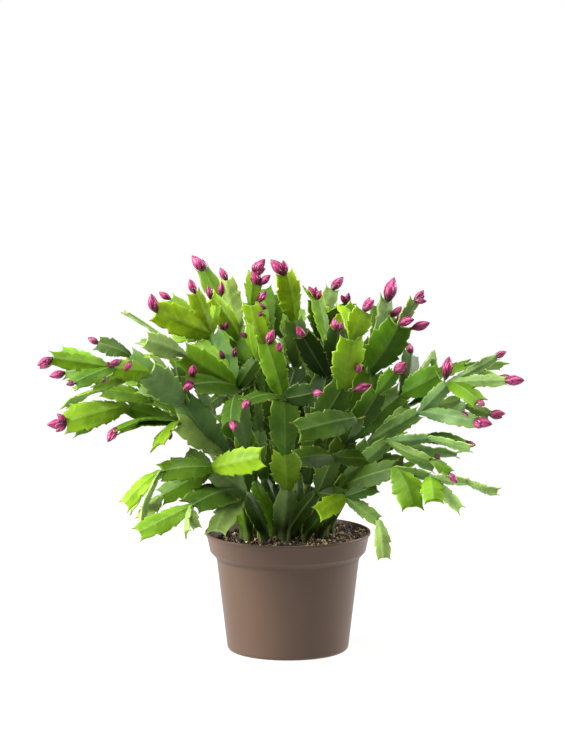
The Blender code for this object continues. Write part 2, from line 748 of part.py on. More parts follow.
def grow_stem(name, placed):
    """Finds the place of every pad of a stem. Returns the root and the pads by name."""
    far = name in FAR_STEMS
    ground = ground_of(name)
    top = ground + Vector((0, 0, POST_RISE))
    joints = {"": top}
    pads = {}
    rows = far_rows(name, joints) if far else near_rows(name, joints)
    chance = random.Random(SEED + sum(map(ord, name)))
    toward, _up = sight_axes()
    for label, parent, end, slide, facing, roll, width, kind in rows:
        if parent not in joints:
            continue
        joint = joints[parent]
        start = pads[parent].root_for_child() if parent else top - Vector((0, 0, SUNK))
        along = (end - joint).normalized()
        flat = facing - along * facing.dot(along)
        flat.normalize()
        roll += chance.uniform(-ROLL_SPREAD, ROLL_SPREAD)
        face = turned(flat, along, roll)
        if not far and abs(roll) < EDGE_ON:
            width /= max(face.dot(toward), LEAST_SHOWN)
        arch = ARCH * chance.uniform(0.2, 1.8)
        pad = place_pad(name, label, start, joint, end, slide, face, width, kind, arch, placed)
        if pad is not None:
            pad.parent = parent
            pads[label] = pad
            joints[label] = pad.end
    return ground, pads


def build_stem(name, ground, pads, group):
    post = add_object("leafy_stem_" + name, *post_shape(ground), group)
    tidy(post.data)
    repeats = new_collection("pads_" + name)
    for number, chain in enumerate(chains_of(pads)):
        thing = add_object(f"chain_{number}", *chain_shape(chain), repeats)
        tidy(thing.data)
    return join_group(post, repeats)


def bud_points(base, along, length):
    """Rings and tip of one slender bud."""
    side = along.orthogonal().normalized()
    other = along.cross(side)
    radius = length * BUD_SLENDERNESS
    points = []
    for share, wide in BUD_PROFILE:
        for k in range(BUD_SIDES):
            angle = 2 * math.pi * k / BUD_SIDES
            outward = side * math.cos(angle) + other * math.sin(angle)
            points.append(base + along * (share * length) + outward * (wide * radius))
    points.append(base + along * length)
    faces = [tuple(range(BUD_SIDES - 1, -1, -1))]
    for ring in range(len(BUD_PROFILE) - 1):
        for k in range(BUD_SIDES):
            after = (k + 1) % BUD_SIDES
            low = ring * BUD_SIDES
            high = low + BUD_SIDES
            faces.append((low + k, low + after, high + after, high + k))
    tip = len(points) - 1
    last = (len(BUD_PROFILE) - 1) * BUD_SIDES
    for k in range(BUD_SIDES):
        faces.append((last + k, last + (k + 1) % BUD_SIDES, tip))
    return points, faces


def bud_lines(pad, buds, extra, corner):
    """Base and direction of each bud of a cluster: leant to the right of and up from the pad's own line."""
    _toward, up = sight_axes()
    right = Vector((1, 0, 0))
    aims = []
    clear = 0.0
    for length, lean_right, lean_up in buds:
        aim = pad.along.copy()
        aim += right * math.tan(math.radians(min(lean_right, BUD_MAX_LEAN)))
        aim += up * math.tan(math.radians(max(min(lean_up, BUD_MAX_LEAN), -BUD_MAX_LEAN)))
        aim += extra + pad.side * (BUD_CORNER_LEAN * corner)
        aim.normalize()
        if aim.dot(pad.along) < BUD_LEAST_ALONG:
            aim = (aim + pad.along * BUD_CORNER_LEAN).normalized()
        aims.append(aim)
        base_radius = length * MM * BUD_SLENDERNESS * BUD_PROFILE[0][1]
        clear = max(clear, base_radius * math.sin(aim.angle(pad.along)))
    base = pad.place(OUTLINES[pad.kind][1][-1], 0, 0) + pad.along * (GAP + clear)
    if corner:
        share, wide = OUTLINES[pad.kind][0][-2][:2]
        base = pad.place(share, corner * wide * pad.half, 0) + aims[0] * (GAP + clear * 0.5)
    return [(base, aim, bud[0] * MM) for aim, bud in zip(aims, buds)]


def build_buds(name, pad, corner, buds, placed, group):
    """One fused cluster, leant clear of all pads round it."""
    away = [Vector((0, 0, 0))]
    for step in BUD_AWAY_STEPS:
        away += [pad.normal * step, pad.normal * -step, pad.side * step, pad.side * -step]
    for extra in away:
        lines = bud_lines(pad, buds, extra, corner)
        shapes = [bud_points(*line) for line in lines]
        hit = 0
        for points, faces in shapes:
            tree = BVHTree.FromPolygons(points, faces)
            centre = sum(points, Vector()) / len(points)
            reach = max((p - centre).length for p in points) + BUD_ROOM
            hit += placed.clashes(tree, centre, reach)
        if not hit:
            break
    else:
        print("no room for buds", name)
        return None
    made = add_object(name, *shapes[0], group)
    tidy(made.data)
    if len(shapes) > 1:
        repeats = new_collection("buds_" + name)
        for number, shape in enumerate(shapes[1:]):
            thing = add_object(f"bud_{number}", *shape, repeats)
            tidy(thing.data)
        join_group(made, repeats)
    corners = [v.co.copy() for v in made.data.vertices]
    centre = sum(corners, Vector()) / len(corners)
    reach = max((p - centre).length for p in corners) + BUD_ROOM
    tree = BVHTree.FromPolygons(corners, [tuple(f.vertices) for f in made.data.polygons])
    placed.add(name, (), tree, centre, reach)
    return made


def spun(name, profile, sides, group):
    """A closed profile of radius and height, turned about the pot's axis."""
    mesh = bpy.data.meshes.new(name)
    edges = [(k, k + 1) for k in range(len(profile) - 1)]
    mesh.from_pydata([(radius, 0, height) for radius, height in profile], edges, [])
    thing = bpy.data.objects.new(name, mesh)
    group.objects.link(thing)
    turn = thing.modifiers.new("turn", "SCREW")
    turn.angle = 2 * math.pi
    turn.steps = sides
    turn.render_steps = sides
    turn.use_merge_vertices = True
    turn.merge_threshold = 0.0001
    bpy.context.view_layer.update()
    apply_all(thing)
    tidy(thing.data)
    return thing


def pot_profile():
    """Down the outside from the rim, across the flat base, and back up the inside from INNER_WALL_START on."""
    collar_foot = POT_HEIGHT - COLLAR_HEIGHT
    shoulder_foot = collar_foot - SHOULDER_HEIGHT
    return [
        (RIM_RADIUS - WALL, POT_HEIGHT),
        (RIM_RADIUS + LIP_REACH, POT_HEIGHT),
        (RIM_RADIUS + LIP_REACH, POT_HEIGHT - LIP_HEIGHT),
        (RIM_RADIUS - STEP / 3, POT_HEIGHT - LIP_HEIGHT - STEP * 2 / 3),
        (COLLAR_FOOT_RADIUS, collar_foot + STEP),
        (COLLAR_FOOT_RADIUS - STEP, collar_foot),
        (BODY_TOP_RADIUS + STEP / 2, shoulder_foot + STEP),
        (BODY_TOP_RADIUS, shoulder_foot),
        (BODY_FOOT_RADIUS, HEEL),
        (BODY_FOOT_RADIUS - HEEL * 0.4, HEEL * 0.3),
        (BODY_FOOT_RADIUS - HEEL, 0),
        (0, 0),
        (0, WALL),
        (BODY_FOOT_RADIUS - HEEL, WALL),
        (BODY_TOP_RADIUS - WALL, shoulder_foot),
        (COLLAR_FOOT_RADIUS - WALL - STEP, collar_foot + STEP / 2),
        (RIM_RADIUS - WALL, POT_HEIGHT),
    ]


def add_drill(sides, radius, depth, centre, cutters):
    """An upright cutter round its centre."""
    bpy.ops.mesh.primitive_cylinder_add(vertices=sides, radius=radius, depth=depth)
    drill = bpy.context.active_object
    for shape in list(drill.users_collection):
        shape.objects.unlink(drill)
    cutters.objects.link(drill)
    for corner in drill.data.vertices:
        corner.co += centre
    drill.display_type = "WIRE"
    drill.hide_render = True


def build_pot(group, cutters):
    pot = spun("pot", pot_profile(), POT_SIDES, group)
    for number in range(DRAIN_COUNT):
        angle = 2 * math.pi * (number + 0.5) / DRAIN_COUNT
        centre = Vector((DRAIN_RING * math.cos(angle), DRAIN_RING * math.sin(angle), 0))
        add_drill(DRAIN_SIDES, DRAIN_RADIUS, DRAIN_DRILL_DEPTH, centre, cutters)
    return join_group(pot, cutters, "DIFFERENCE")


def inner_radius(height):
    """The pot's inner wall at a height, less the gap that the soil keeps from it."""
    wall = pot_profile()[INNER_WALL_START:]
    flat = math.cos(math.pi / POT_SIDES)
    for (low_r, low_z), (high_r, high_z) in zip(wall, wall[1:]):
        if low_z <= height <= high_z:
            share = (height - low_z) / (high_z - low_z)
            return (low_r + (high_r - low_r) * share) * flat - GAP
    return wall[-1][0] * flat - GAP


def build_soil(grounds, group, cutters):
    """A plug that fills the pot, with a crumbly top and a plain hole for each root."""
    collar_foot = POT_HEIGHT - COLLAR_HEIGHT + STEP / 2
    shoulder_foot = POT_HEIGHT - COLLAR_HEIGHT - SHOULDER_HEIGHT
    floor = WALL + GAP
    levels = (floor, shoulder_foot, collar_foot)
    points = []
    faces = []
    for height in levels:
        radius = inner_radius(height)
        for k in range(SOIL_SIDES):
            angle = 2 * math.pi * k / SOIL_SIDES
            points.append((radius * math.cos(angle), radius * math.sin(angle), height))
    for ring in range(SOIL_RINGS, 0, -1):
        for k in range(SOIL_SIDES):
            angle = 2 * math.pi * (k + 0.5 * (ring % 2)) / SOIL_SIDES
            out_x, out_y = math.cos(angle), math.sin(angle)
            brink_height = soil_height(BRINK_RADIUS * out_x, BRINK_RADIUS * out_y)
            radius = inner_radius(brink_height) * ring / SOIL_RINGS
            x, y = radius * out_x, radius * out_y
            points.append((x, y, brink_height if ring == SOIL_RINGS else soil_height(x, y)))
    points.append((0, 0, soil_height(0, 0)))
    rings = len(levels) + SOIL_RINGS
    faces.append(tuple(range(SOIL_SIDES - 1, -1, -1)))
    for ring in range(rings - 1):
        low = ring * SOIL_SIDES
        high = low + SOIL_SIDES
        for k in range(SOIL_SIDES):
            after = (k + 1) % SOIL_SIDES
            faces.append((low + k, low + after, high + after, high + k))
    top = len(points) - 1
    last = (rings - 1) * SOIL_SIDES
    for k in range(SOIL_SIDES):
        faces.append((last + k, last + (k + 1) % SOIL_SIDES, top))
    soil = add_object("soil", points, faces, group)
    tidy(soil.data)
    for ground in grounds:
        depth = POST_DEPTH + GAP + DRILL_RISE
        centre = ground + Vector((0, 0, DRILL_RISE - depth / 2))
        add_drill(HOLE_SIDES, POST_RADIUS + HOLE_CLEARANCE, depth, centre, cutters)
    return join_group(soil, cutters, "DIFFERENCE")


def finish(thing, look):
    thing.data.materials.clear()
    thing.data.materials.append(look)


def main():
    clear_scene()
    group = new_collection("potted_cactus")
    leaf = material("leaf_green", LEAF_GREEN, 0.45)
    pink = material("bud_pink", BUD_PINK, 0.45)
    placed = Placed()
    placed.add("pot", (), pot_obstacle(), POT_CENTRE, POT_REACH)
    names = list(STEMS) + list(FAR_STEMS)
    for name in names:
        place_post(name, placed)
    grown = {name: grow_stem(name, placed) for name in names}
    for name, (ground, pads) in grown.items():
        finish(build_stem(name, ground, pads, group), leaf)
    for number, (stem, label, buds) in enumerate(BUDS + FAR_BUDS):
        if label in grown[stem][1]:
            corner = CORNERS.get((stem, label), 0)
            made = build_buds(f"flower_buds_{stem}_{label}", grown[stem][1][label], corner, buds, placed, group)
            if made is not None:
                finish(made, pink)
    pot_cutters = new_collection("pot_cutters")
    finish(build_pot(group, pot_cutters), material("pot_brown", POT_BROWN, 0.4))
    soil_cutters = new_collection("soil_cutters")
    grounds = [ground for ground, _pads in grown.values()]
    finish(build_soil(grounds, group, soil_cutters), material("soil_dark", SOIL_BROWN, 0.9))


main()
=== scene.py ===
import math
import random

import bpy
import numpy as np
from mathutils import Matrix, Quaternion, Vector


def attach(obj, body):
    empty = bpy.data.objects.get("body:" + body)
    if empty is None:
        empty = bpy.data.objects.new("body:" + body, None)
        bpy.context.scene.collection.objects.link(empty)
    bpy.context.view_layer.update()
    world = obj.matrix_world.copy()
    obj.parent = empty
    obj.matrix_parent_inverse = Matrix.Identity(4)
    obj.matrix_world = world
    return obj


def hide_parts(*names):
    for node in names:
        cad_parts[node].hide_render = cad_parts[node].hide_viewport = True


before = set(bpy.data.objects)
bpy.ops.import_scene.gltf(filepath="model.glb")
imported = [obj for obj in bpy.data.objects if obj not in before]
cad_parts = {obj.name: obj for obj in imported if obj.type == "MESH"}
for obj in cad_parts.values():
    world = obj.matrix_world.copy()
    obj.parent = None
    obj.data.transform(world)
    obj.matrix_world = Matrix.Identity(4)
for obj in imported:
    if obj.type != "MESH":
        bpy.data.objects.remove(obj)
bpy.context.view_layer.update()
millimetre = 0.001
print("frame loaded:", len(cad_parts), "solids")

# camera: where the photo looks from, and what one of its pixels measures at the pot's axis
view = {
    "distance": 3.0,
    "elevation": 8.5,
    "target": (-0.004, 0.0, 0.203),
    "pixel": 0.73 * millimetre,
    "centre": (282.5, 376.0),   # the pixel in the middle of the photo
    "tall": 752,                # the photo's height in pixels
    "sensor": 36.0,
    "clip": (0.05, 60),
    "depthSpread": 1.2,         # how far the depths in the rows of pads are drawn apart
}
tilt = math.radians(view["elevation"])
sightToward = Vector((0, -math.cos(tilt), math.sin(tilt)))
sightUp = Vector((0, math.sin(tilt), math.cos(tilt)))
sightTarget = Vector(view["target"])


def addCamera():
    # the focal length is the sensor times the distance, over what the photo's height measures at the target
    lens = bpy.data.cameras.new("photoCamera")
    lens.sensor_width = view["sensor"]
    lens.lens = view["sensor"] * view["distance"] / (view["tall"] * view["pixel"])
    lens.clip_start, lens.clip_end = view["clip"]
    camera = bpy.data.objects.new("photoCamera", lens)
    bpy.context.scene.collection.objects.link(camera)
    camera.location = sightTarget + sightToward * view["distance"]
    camera.rotation_euler = (math.pi / 2 - tilt, 0, 0)
    bpy.context.scene.camera = camera


addCamera()


def roundAngles(count, offset=0):
    # even steps of one full turn, the first of them this share of a step on
    return (np.arange(count) + offset) / count * 2 * math.pi


def onCircle(radius, angle):
    # x is radius * cos(angle), y is radius * sin(angle)
    return radius * np.cos(angle), radius * np.sin(angle)


# surfaces: a body is points on a rows x ring grid, closed round the ring and at both ends by a pole
def gridBody(points, firstPole, lastPole):
    rows, ring = points.shape[:2]
    number = np.arange(rows * ring).reshape(rows, ring)
    after = np.roll(number, -1, axis=1)
    quads = np.stack([number[:-1], after[:-1], after[1:], number[1:]], axis=-1).reshape(-1, 4)
    first = np.full(ring, rows * ring)
    last = first + 1
    startFan = np.stack([after[0], number[0], first], axis=-1)
    endFan = np.stack([number[-1], after[-1], last], axis=-1)
    allPoints = np.concatenate([points.reshape(-1, 3), [firstPole], [lastPole]])
    return allPoints, quads, np.concatenate([startFan, endFan])


def withPoles(values):
    # a value for each grid point, with its row's mean at the two poles
    return np.concatenate([values.reshape(-1), [values[0].mean()], [values[-1].mean()]])


class Piece:
    # gathers bodies and what is known at their points, then becomes one mesh
    def __init__(self, name, finish):
        self.name = name
        self.finish = finish
        self.points = []
        self.quads = []
        self.triangles = []
        self.known = {}
        self.count = 0

    def add(self, points, quads, triangles, **known):
        # a body's faces are numbered on from the points that are there
        self.points.append(points)
        self.quads.append(quads + self.count)
        self.triangles.append(triangles + self.count)
        for name, values in known.items():
            self.known.setdefault(name, []).append(values)
        self.count += len(points)

    def build(self):
        mesh = bpy.data.meshes.new(self.name)
        faces = np.concatenate(self.quads).tolist() + np.concatenate(self.triangles).tolist()
        mesh.from_pydata(np.concatenate(self.points).tolist(), [], faces)
        for name, parts in self.known.items():
            values = np.concatenate(parts).astype(np.float32)
            kind, field = ("FLOAT_COLOR", "color") if values.ndim == 2 else ("FLOAT", "value")
            mesh.attributes.new(name, kind, "POINT").data.foreach_set(field, values.ravel())
        mesh.polygons.foreach_set("use_smooth", np.ones(len(mesh.polygons), bool))
        mesh.materials.append(self.finish)
        made = bpy.data.objects.new(self.name, mesh)
        bpy.context.scene.collection.objects.link(made)
        return made


def fit(made, node=None):
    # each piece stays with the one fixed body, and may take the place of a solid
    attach(made, "root")
    if node:
        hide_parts(node)


# finishes: shader maths as Python expressions
class Value:
    # an output socket, whose sums, differences and products are Math nodes
    def __init__(self, shading, socket):
        self.shading = shading
        self.socket = socket

    def maths(self, operation, first, second):
        return self.shading.node("ShaderNodeMath", {"operation": operation}, {0: first, 1: second})

    def __add__(self, other):
        return self.maths("ADD", self, other)

    def __sub__(self, other):
        return self.maths("SUBTRACT", self, other)

    def __rsub__(self, other):
        return self.maths("SUBTRACT", other, self)

    def __mul__(self, other):
        return self.maths("MULTIPLY", self, other)

    __radd__ = __add__
    __rmul__ = __mul__


class Shading:
    # a node tree, where every node comes from its type, its settings and what its sockets take
    def __init__(self, tree):
        self.tree = tree

    def plug(self, socket, value):
        if isinstance(value, Value):
            self.tree.links.new(value.socket, socket)
        else:
            socket.default_value = value

    def node(self, kind, settings=None, inputs=None, output=0):
        made = self.tree.nodes.new(kind)
        for name, value in (settings or {}).items():
            if name == "stops":
                ramp = made.color_ramp
                while len(ramp.elements) < len(value):
                    ramp.elements.new(0.5)
                for element, (place, color) in zip(ramp.elements, value):
                    element.position = place
                    element.color = (*color, 1)
            else:
                setattr(made, name, value)
        for name, value in (inputs or {}).items():
            self.plug(made.inputs[name], value)
        return Value(self, made.outputs[output])


class Finish(Shading):
    # a material: one Principled shader, with fixed values and with patterns plugged into it
    def __init__(self, name, **fixed):
        self.material = bpy.data.materials.new(name)
        self.material.use_nodes = True
        super().__init__(self.material.node_tree)
        self.shader = self.tree.nodes["Principled BSDF"]
        self.set(**fixed)

    def attribute(self, name, output="Fac"):
        return self.node("ShaderNodeAttribute", {"attribute_name": name}, output=output)

    def noise(self, scale, detail=2.0, stretch=None):
        place = self.node("ShaderNodeTexCoord", output="Object")
        if stretch:
            place = self.node("ShaderNodeMapping", inputs={"Vector": place, "Scale": stretch})
        return self.node("ShaderNodeTexNoise", inputs={"Vector": place, "Scale": scale, "Detail": detail})

    def between(self, value, low, high):
        # 0 under low, 1 over high, smooth between them
        return self.node("ShaderNodeMapRange", {"interpolation_type": "SMOOTHSTEP"},
                         {"Value": value, "From Min": low, "From Max": high})

    def mix(self, factor, first, second, blend="MIX"):
        first, second = ((*color, 1) if isinstance(color, tuple) else color for color in (first, second))
        return self.node("ShaderNodeMix", {"data_type": "RGBA", "blend_type": blend, "clamp_factor": True},
                         {0: factor, 6: first, 7: second}, output=2)

    def bump(self, height, strength, distance):
        inputs = {"Height": height, "Strength": strength, "Distance": distance}
        self.set(Normal=self.node("ShaderNodeBump", inputs=inputs, output="Normal"))

    def set(self, **inputs):
        for socket, value in inputs.items():
            self.plug(self.shader.inputs[socket.replace("_", " ")], value)
        return self.material


leafLook = {
    "ribPale": (0.26, 0.36, 0.12),
    "edgePale": (0.38, 0.42, 0.12),
    "tipRed": (0.20, 0.060, 0.030),
    "cork": (0.085, 0.075, 0.030),
    "darker": (0.42, 0.52, 0.42),    # what the tone is multiplied by in old patches
    "fresher": (1.45, 1.38, 0.90),   # and towards the thin, young edge
    "roughness": 0.45,
    "patches": 0.6,                  # from here on, how strongly each pattern shows
    "oldStart": 0.55,
    "youngEdge": 0.45,
    "veins": 0.30,
    "rib": 0.22,
    "edge": 0.40,
    "tips": 0.8,
    "relief": 0.35,
}


def leafFinish():
    # the pad's tone, mixed by smooth steps of the place along and across it and of noise
    shown = leafLook
    look = Finish("leafFlesh", Subsurface_Weight=0.2, Subsurface_Scale=0.004,
                  Subsurface_Radius=(0.7, 1.0, 0.15), Specular_IOR_Level=0.14)
    tint = look.attribute("tint", "Color")
    across, along, tip, wood = (look.attribute(name) for name in ("across", "along", "tip", "wood"))
    broad = look.noise(85, 3)
    fine = look.noise(700, 2)
    streak = look.noise(260, 2, (1, 1, 0.35))
    darker = look.mix(1.0, tint, shown["darker"], "MULTIPLY")
    fresher = look.mix(1.0, tint, shown["fresher"], "MULTIPLY")
    color = look.mix(look.between(broad, 0.36, 0.70) * shown["patches"], tint, darker)
    color = look.mix((1 - look.between(along, 0.0, 0.34)) * shown["oldStart"], color, darker)
    young = look.between(across, 0.45, 0.95) * look.between(along, 0.15, 0.8)
    color = look.mix(young * shown["youngEdge"], color, fresher)
    veins = look.node("ShaderNodeMath", {"operation": "SINE"}, {0: along * 38 - across * 7 + broad * 5})
    color = look.mix(look.between(veins, 0.55, 1.0) * (1 - across) * shown["veins"], color, fresher)
    color = look.mix((1 - look.between(across, 0.02, 0.10)) * shown["rib"], color, shown["ribPale"])
    edge = look.between(across, 0.93, 0.99) * look.between(streak, 0.38, 0.6)
    color = look.mix(edge * shown["edge"], color, shown["edgePale"])
    tips = look.between(tip, 0.25, 0.9) * look.between(broad, 0.35, 0.6)
    color = look.mix(tips * shown["tips"], color, shown["tipRed"])
    color = look.mix(wood * look.between(streak, 0.30, 0.62), color, shown["cork"])
    look.bump(fine * 0.5 + broad * 0.8, shown["relief"], 0.6 * millimetre)
    return look.set(Base_Color=color, Roughness=fine * 0.16 + wood * 0.3 + shown["roughness"] - 0.06)


budLook = {
    "stops": ((0.0, (0.06, 0.050, 0.02)), (0.08, (0.07, 0.010, 0.024)), (0.30, (0.22, 0.012, 0.070)),
              (0.66, (0.42, 0.030, 0.160)), (1.0, (0.16, 0.006, 0.040))),   # from base to tip
    "pale": (0.62, 0.20, 0.34),
    "dusk": (0.080, 0.010, 0.026),   # small, unripe buds
    "roughness": 0.34,
    "paleEdge": 0.22,                # from here on, how strongly each pattern shows
    "paleFlecks": 0.14,
    "unripe": 0.75,
    "relief": 0.15,
}


def budFinish():
    # a ramp from base to tip, paler at the scales' edges and darker on small buds
    shown = budLook
    look = Finish("budSkin", Subsurface_Weight=0.10, Subsurface_Scale=0.002,
                  Subsurface_Radius=(1.0, 0.3, 0.4))
    along, age, edge = (look.attribute(name) for name in ("along", "age", "across"))
    fine = look.noise(900, 2, (1, 1, 0.5))
    color = look.node("ShaderNodeValToRGB", {"stops": shown["stops"]}, {0: along})
    color = look.mix(look.between(edge, 0.35, 1.0) * shown["paleEdge"], color, shown["pale"])
    color = look.mix(look.between(fine, 0.45, 0.75) * shown["paleFlecks"], color, shown["pale"])
    color = look.mix((1 - look.between(age, 0.15, 0.6)) * shown["unripe"], color, shown["dusk"])
    look.bump(fine, shown["relief"], 0.3 * millimetre)
    return look.set(Base_Color=color, Roughness=fine * 0.15 + shown["roughness"])


soilLook = {"peat": (0.018, 0.011, 0.007), "brown": (0.06, 0.036, 0.02), "roughness": 0.92, "relief": 0.8}


def soilFinish():
    # two browns by noise, or a loose grain's own colour, under dark specks
    look = Finish("peatSoil", Roughness=soilLook["roughness"])
    grain = look.attribute("grain", "Color")
    loose = look.attribute("loose")
    broad = look.noise(120, 4)
    fine = look.noise(1500, 3)
    ground = look.mix(look.between(broad, 0.45, 0.75), soilLook["peat"], soilLook["brown"])
    color = look.mix(loose, ground, grain)
    color = look.mix(look.between(fine, 0.4, 0.8) * 0.5, color, soilLook["peat"])
    look.bump(fine, soilLook["relief"], 0.6 * millimetre)
    return look.set(Base_Color=color)


potLook = {
    "brown": (0.096, 0.056, 0.036),
    "dusty": (0.122, 0.074, 0.049),
    "insideAndCreaseDark": (0.014, 0.009, 0.006),   # nearly black: the inside below the rim, and painted shade in the crease under the collar
    "roughness": 0.42,
    "dust": 0.35,
    "relief": 0.12,
}


def potFinish():
    # two browns by stretched noise, and the dark inside and the painted shade in the crease by their own
    # attribute
    look = Finish("potPlastic", Specular_IOR_Level=0.32)
    stained = look.attribute("stained")
    broad = look.noise(28, 3, (1, 1, 0.4))
    fine = look.noise(2200, 2)
    color = look.mix(look.between(broad, 0.35, 0.75) * potLook["dust"], potLook["brown"], potLook["dusty"])
    # nearly black on the inside below the rim, and painted shade in the crease under the collar
    color = look.mix(stained * look.between(look.noise(300, 3), 0.25, 0.5), color, potLook["insideAndCreaseDark"])
    look.bump(fine * 0.5 + broad * 0.5, potLook["relief"], 0.4 * millimetre)
    return look.set(Base_Color=color, Roughness=broad * 0.12 + stained * 0.5 + potLook["roughness"] - 0.06)


leafMaterial = leafFinish()
budMaterial = budFinish()
soilMaterial = soilFinish()
potMaterial = potFinish()
print("finishes made")


# soil form, lengths in mm
soil = {
    "top": 83,
    "relief": 0.72,
    "rise": 3.8,                     # how much higher it is at the right wall than in the middle
    "frontRise": 1.5,                # and at the front wall
    "rimRadius": 60,
    "wallLevels": (1.6, 68, 73.1),   # its underside, and where the pot's inner wall changes slope
    "brink": 56,                     # the radius at which its top meets the wall
    "wallGap": 0.2,
    "sides": 220,
    "rings": 45,
    "crumb": 0.55,
    "crumbs": ((7, 1.0), (2.6, 0.6)),   # length of the waves and their share
    "waves": 26,
    "grains": 2600,
    "grainReach": 56.5,
    "grainSize": (0.38, 0.95),       # the least, and what the largest has more
    "grainFew": 2.2,                 # the higher, the fewer large ones
    "grainStretch": (0.6, 1.5),      # of a whole grain, and of each of its corners
    "grainLumps": (0.8, 1.2),
    "grainSunk": 0.25,
    "seed": 5,
}


def soilHeight(x, y):
    # a slope to the right and the front, and a fixed mix of waves
    waves = np.sin(x * 310 + 1.1) * np.cos(y * 270 + 0.4) + 0.7 * np.sin(x * 520 - y * 430)
    slope = (soil["rise"] * x - soil["frontRise"] * y) / (soil["rimRadius"] * millimetre)
    return (soil["top"] + slope + soil["relief"] * waves) * millimetre


# tones of the pads: the colour of the flesh in linear light, with painted light and shade in it: the dark
# tones also stand for shade inside the crown, and the pale ones for light on pads that lie in shade
tones = {
    "k": (0.014, 0.036, 0.002),   # darkest: painted shade, for pads deep inside
    "d": (0.040, 0.088, 0.005),   # old and dark, and painted shade on pads inside
    "m": (0.078, 0.172, 0.006),   # full green
    "b": (0.140, 0.268, 0.008),   # young and bright
    "y": (0.240, 0.400, 0.011),   # youngest, yellow green
    "t": (0.108, 0.200, 0.042),   # grey green
    "p": (0.185, 0.295, 0.090),   # pale
    "w": (0.330, 0.480, 0.135),   # palest, thin and young, and painted light on some pads in shade
}

# how the pads are laid out, lengths in mm and angles in degrees: the rule that places them in the solids too
layout = {
    "sunk": 3.4,             # how deep a pad reaches into its parent
    "neckHalfWidth": 2.1,
    "neckHalfThick": 1.2,
    "arch": 0.06,
    "archSpread": (0.2, 1.8),
    "fold": 0.10,
    "stagger": 0.06,         # how much lower the teeth of the left edge stand
    "faceUp": 0.5,
    "faceOut": 0.55,
    "rollSpread": 12,
    "edgeOn": 50,            # a pad turned by more than this keeps its row's width
    "leastShown": 0.72,
    "broader": 1.08,
    "postRise": 8,
    "riseSpread": 5,         # of the far side's pads, by rule: chance in each rise, way, length and roll
    "waySpread": 6,
    "lengthSpread": (0.92, 1.08),
    "farRoll": 30,
    "seed": 12,
    "shifts": (0, 6, -6, 12, -12, 19, -19, 27, -27, 36, -36),
    "turns": (0, 20, -20, 42, -42),
}

# outline of each kind in the solids: share of the length, share of the half width, and whether it is a tooth;
# and how thick the edge is on either side of its middle, in mm
solidOutlines = {
    "large": ((0.13, 0.48, 0), (0.44, 0.94, 1), (0.47, 0.75, 0), (0.74, 1.00, 1), (0.77, 0.76, 0),
              (1.04, 0.68, 1), (0.95, 0.20, 0)),
    "small": ((0.17, 0.54, 0), (0.62, 1.00, 1), (0.66, 0.72, 0), (1.04, 0.76, 1), (0.95, 0.26, 0)),
    "old": ((0.12, 0.84, 0), (0.72, 1.00, 0), (0.98, 0.56, 0)),
}
solidEdges = {"large": 0.5, "small": 0.5, "old": 1.1}

# the same outlines with their lesser teeth
fineOutlines = {
    "large": ((0.13, 0.48, 0), (0.29, 0.80, 1), (0.315, 0.69, 0), (0.44, 0.96, 1), (0.475, 0.76, 0),
              (0.74, 1.02, 1), (0.775, 0.76, 0), (1.04, 0.70, 1), (0.95, 0.20, 0)),
    "small": ((0.17, 0.54, 0), (0.38, 0.83, 1), (0.41, 0.72, 0), (0.62, 1.02, 1), (0.66, 0.72, 0),
              (1.04, 0.78, 1), (0.95, 0.26, 0)),
    "old": ((0.10, 0.62, 0), (0.32, 0.92, 1), (0.36, 0.80, 0), (0.64, 1.04, 1), (0.69, 0.86, 0),
            (0.98, 0.50, 0)),
}

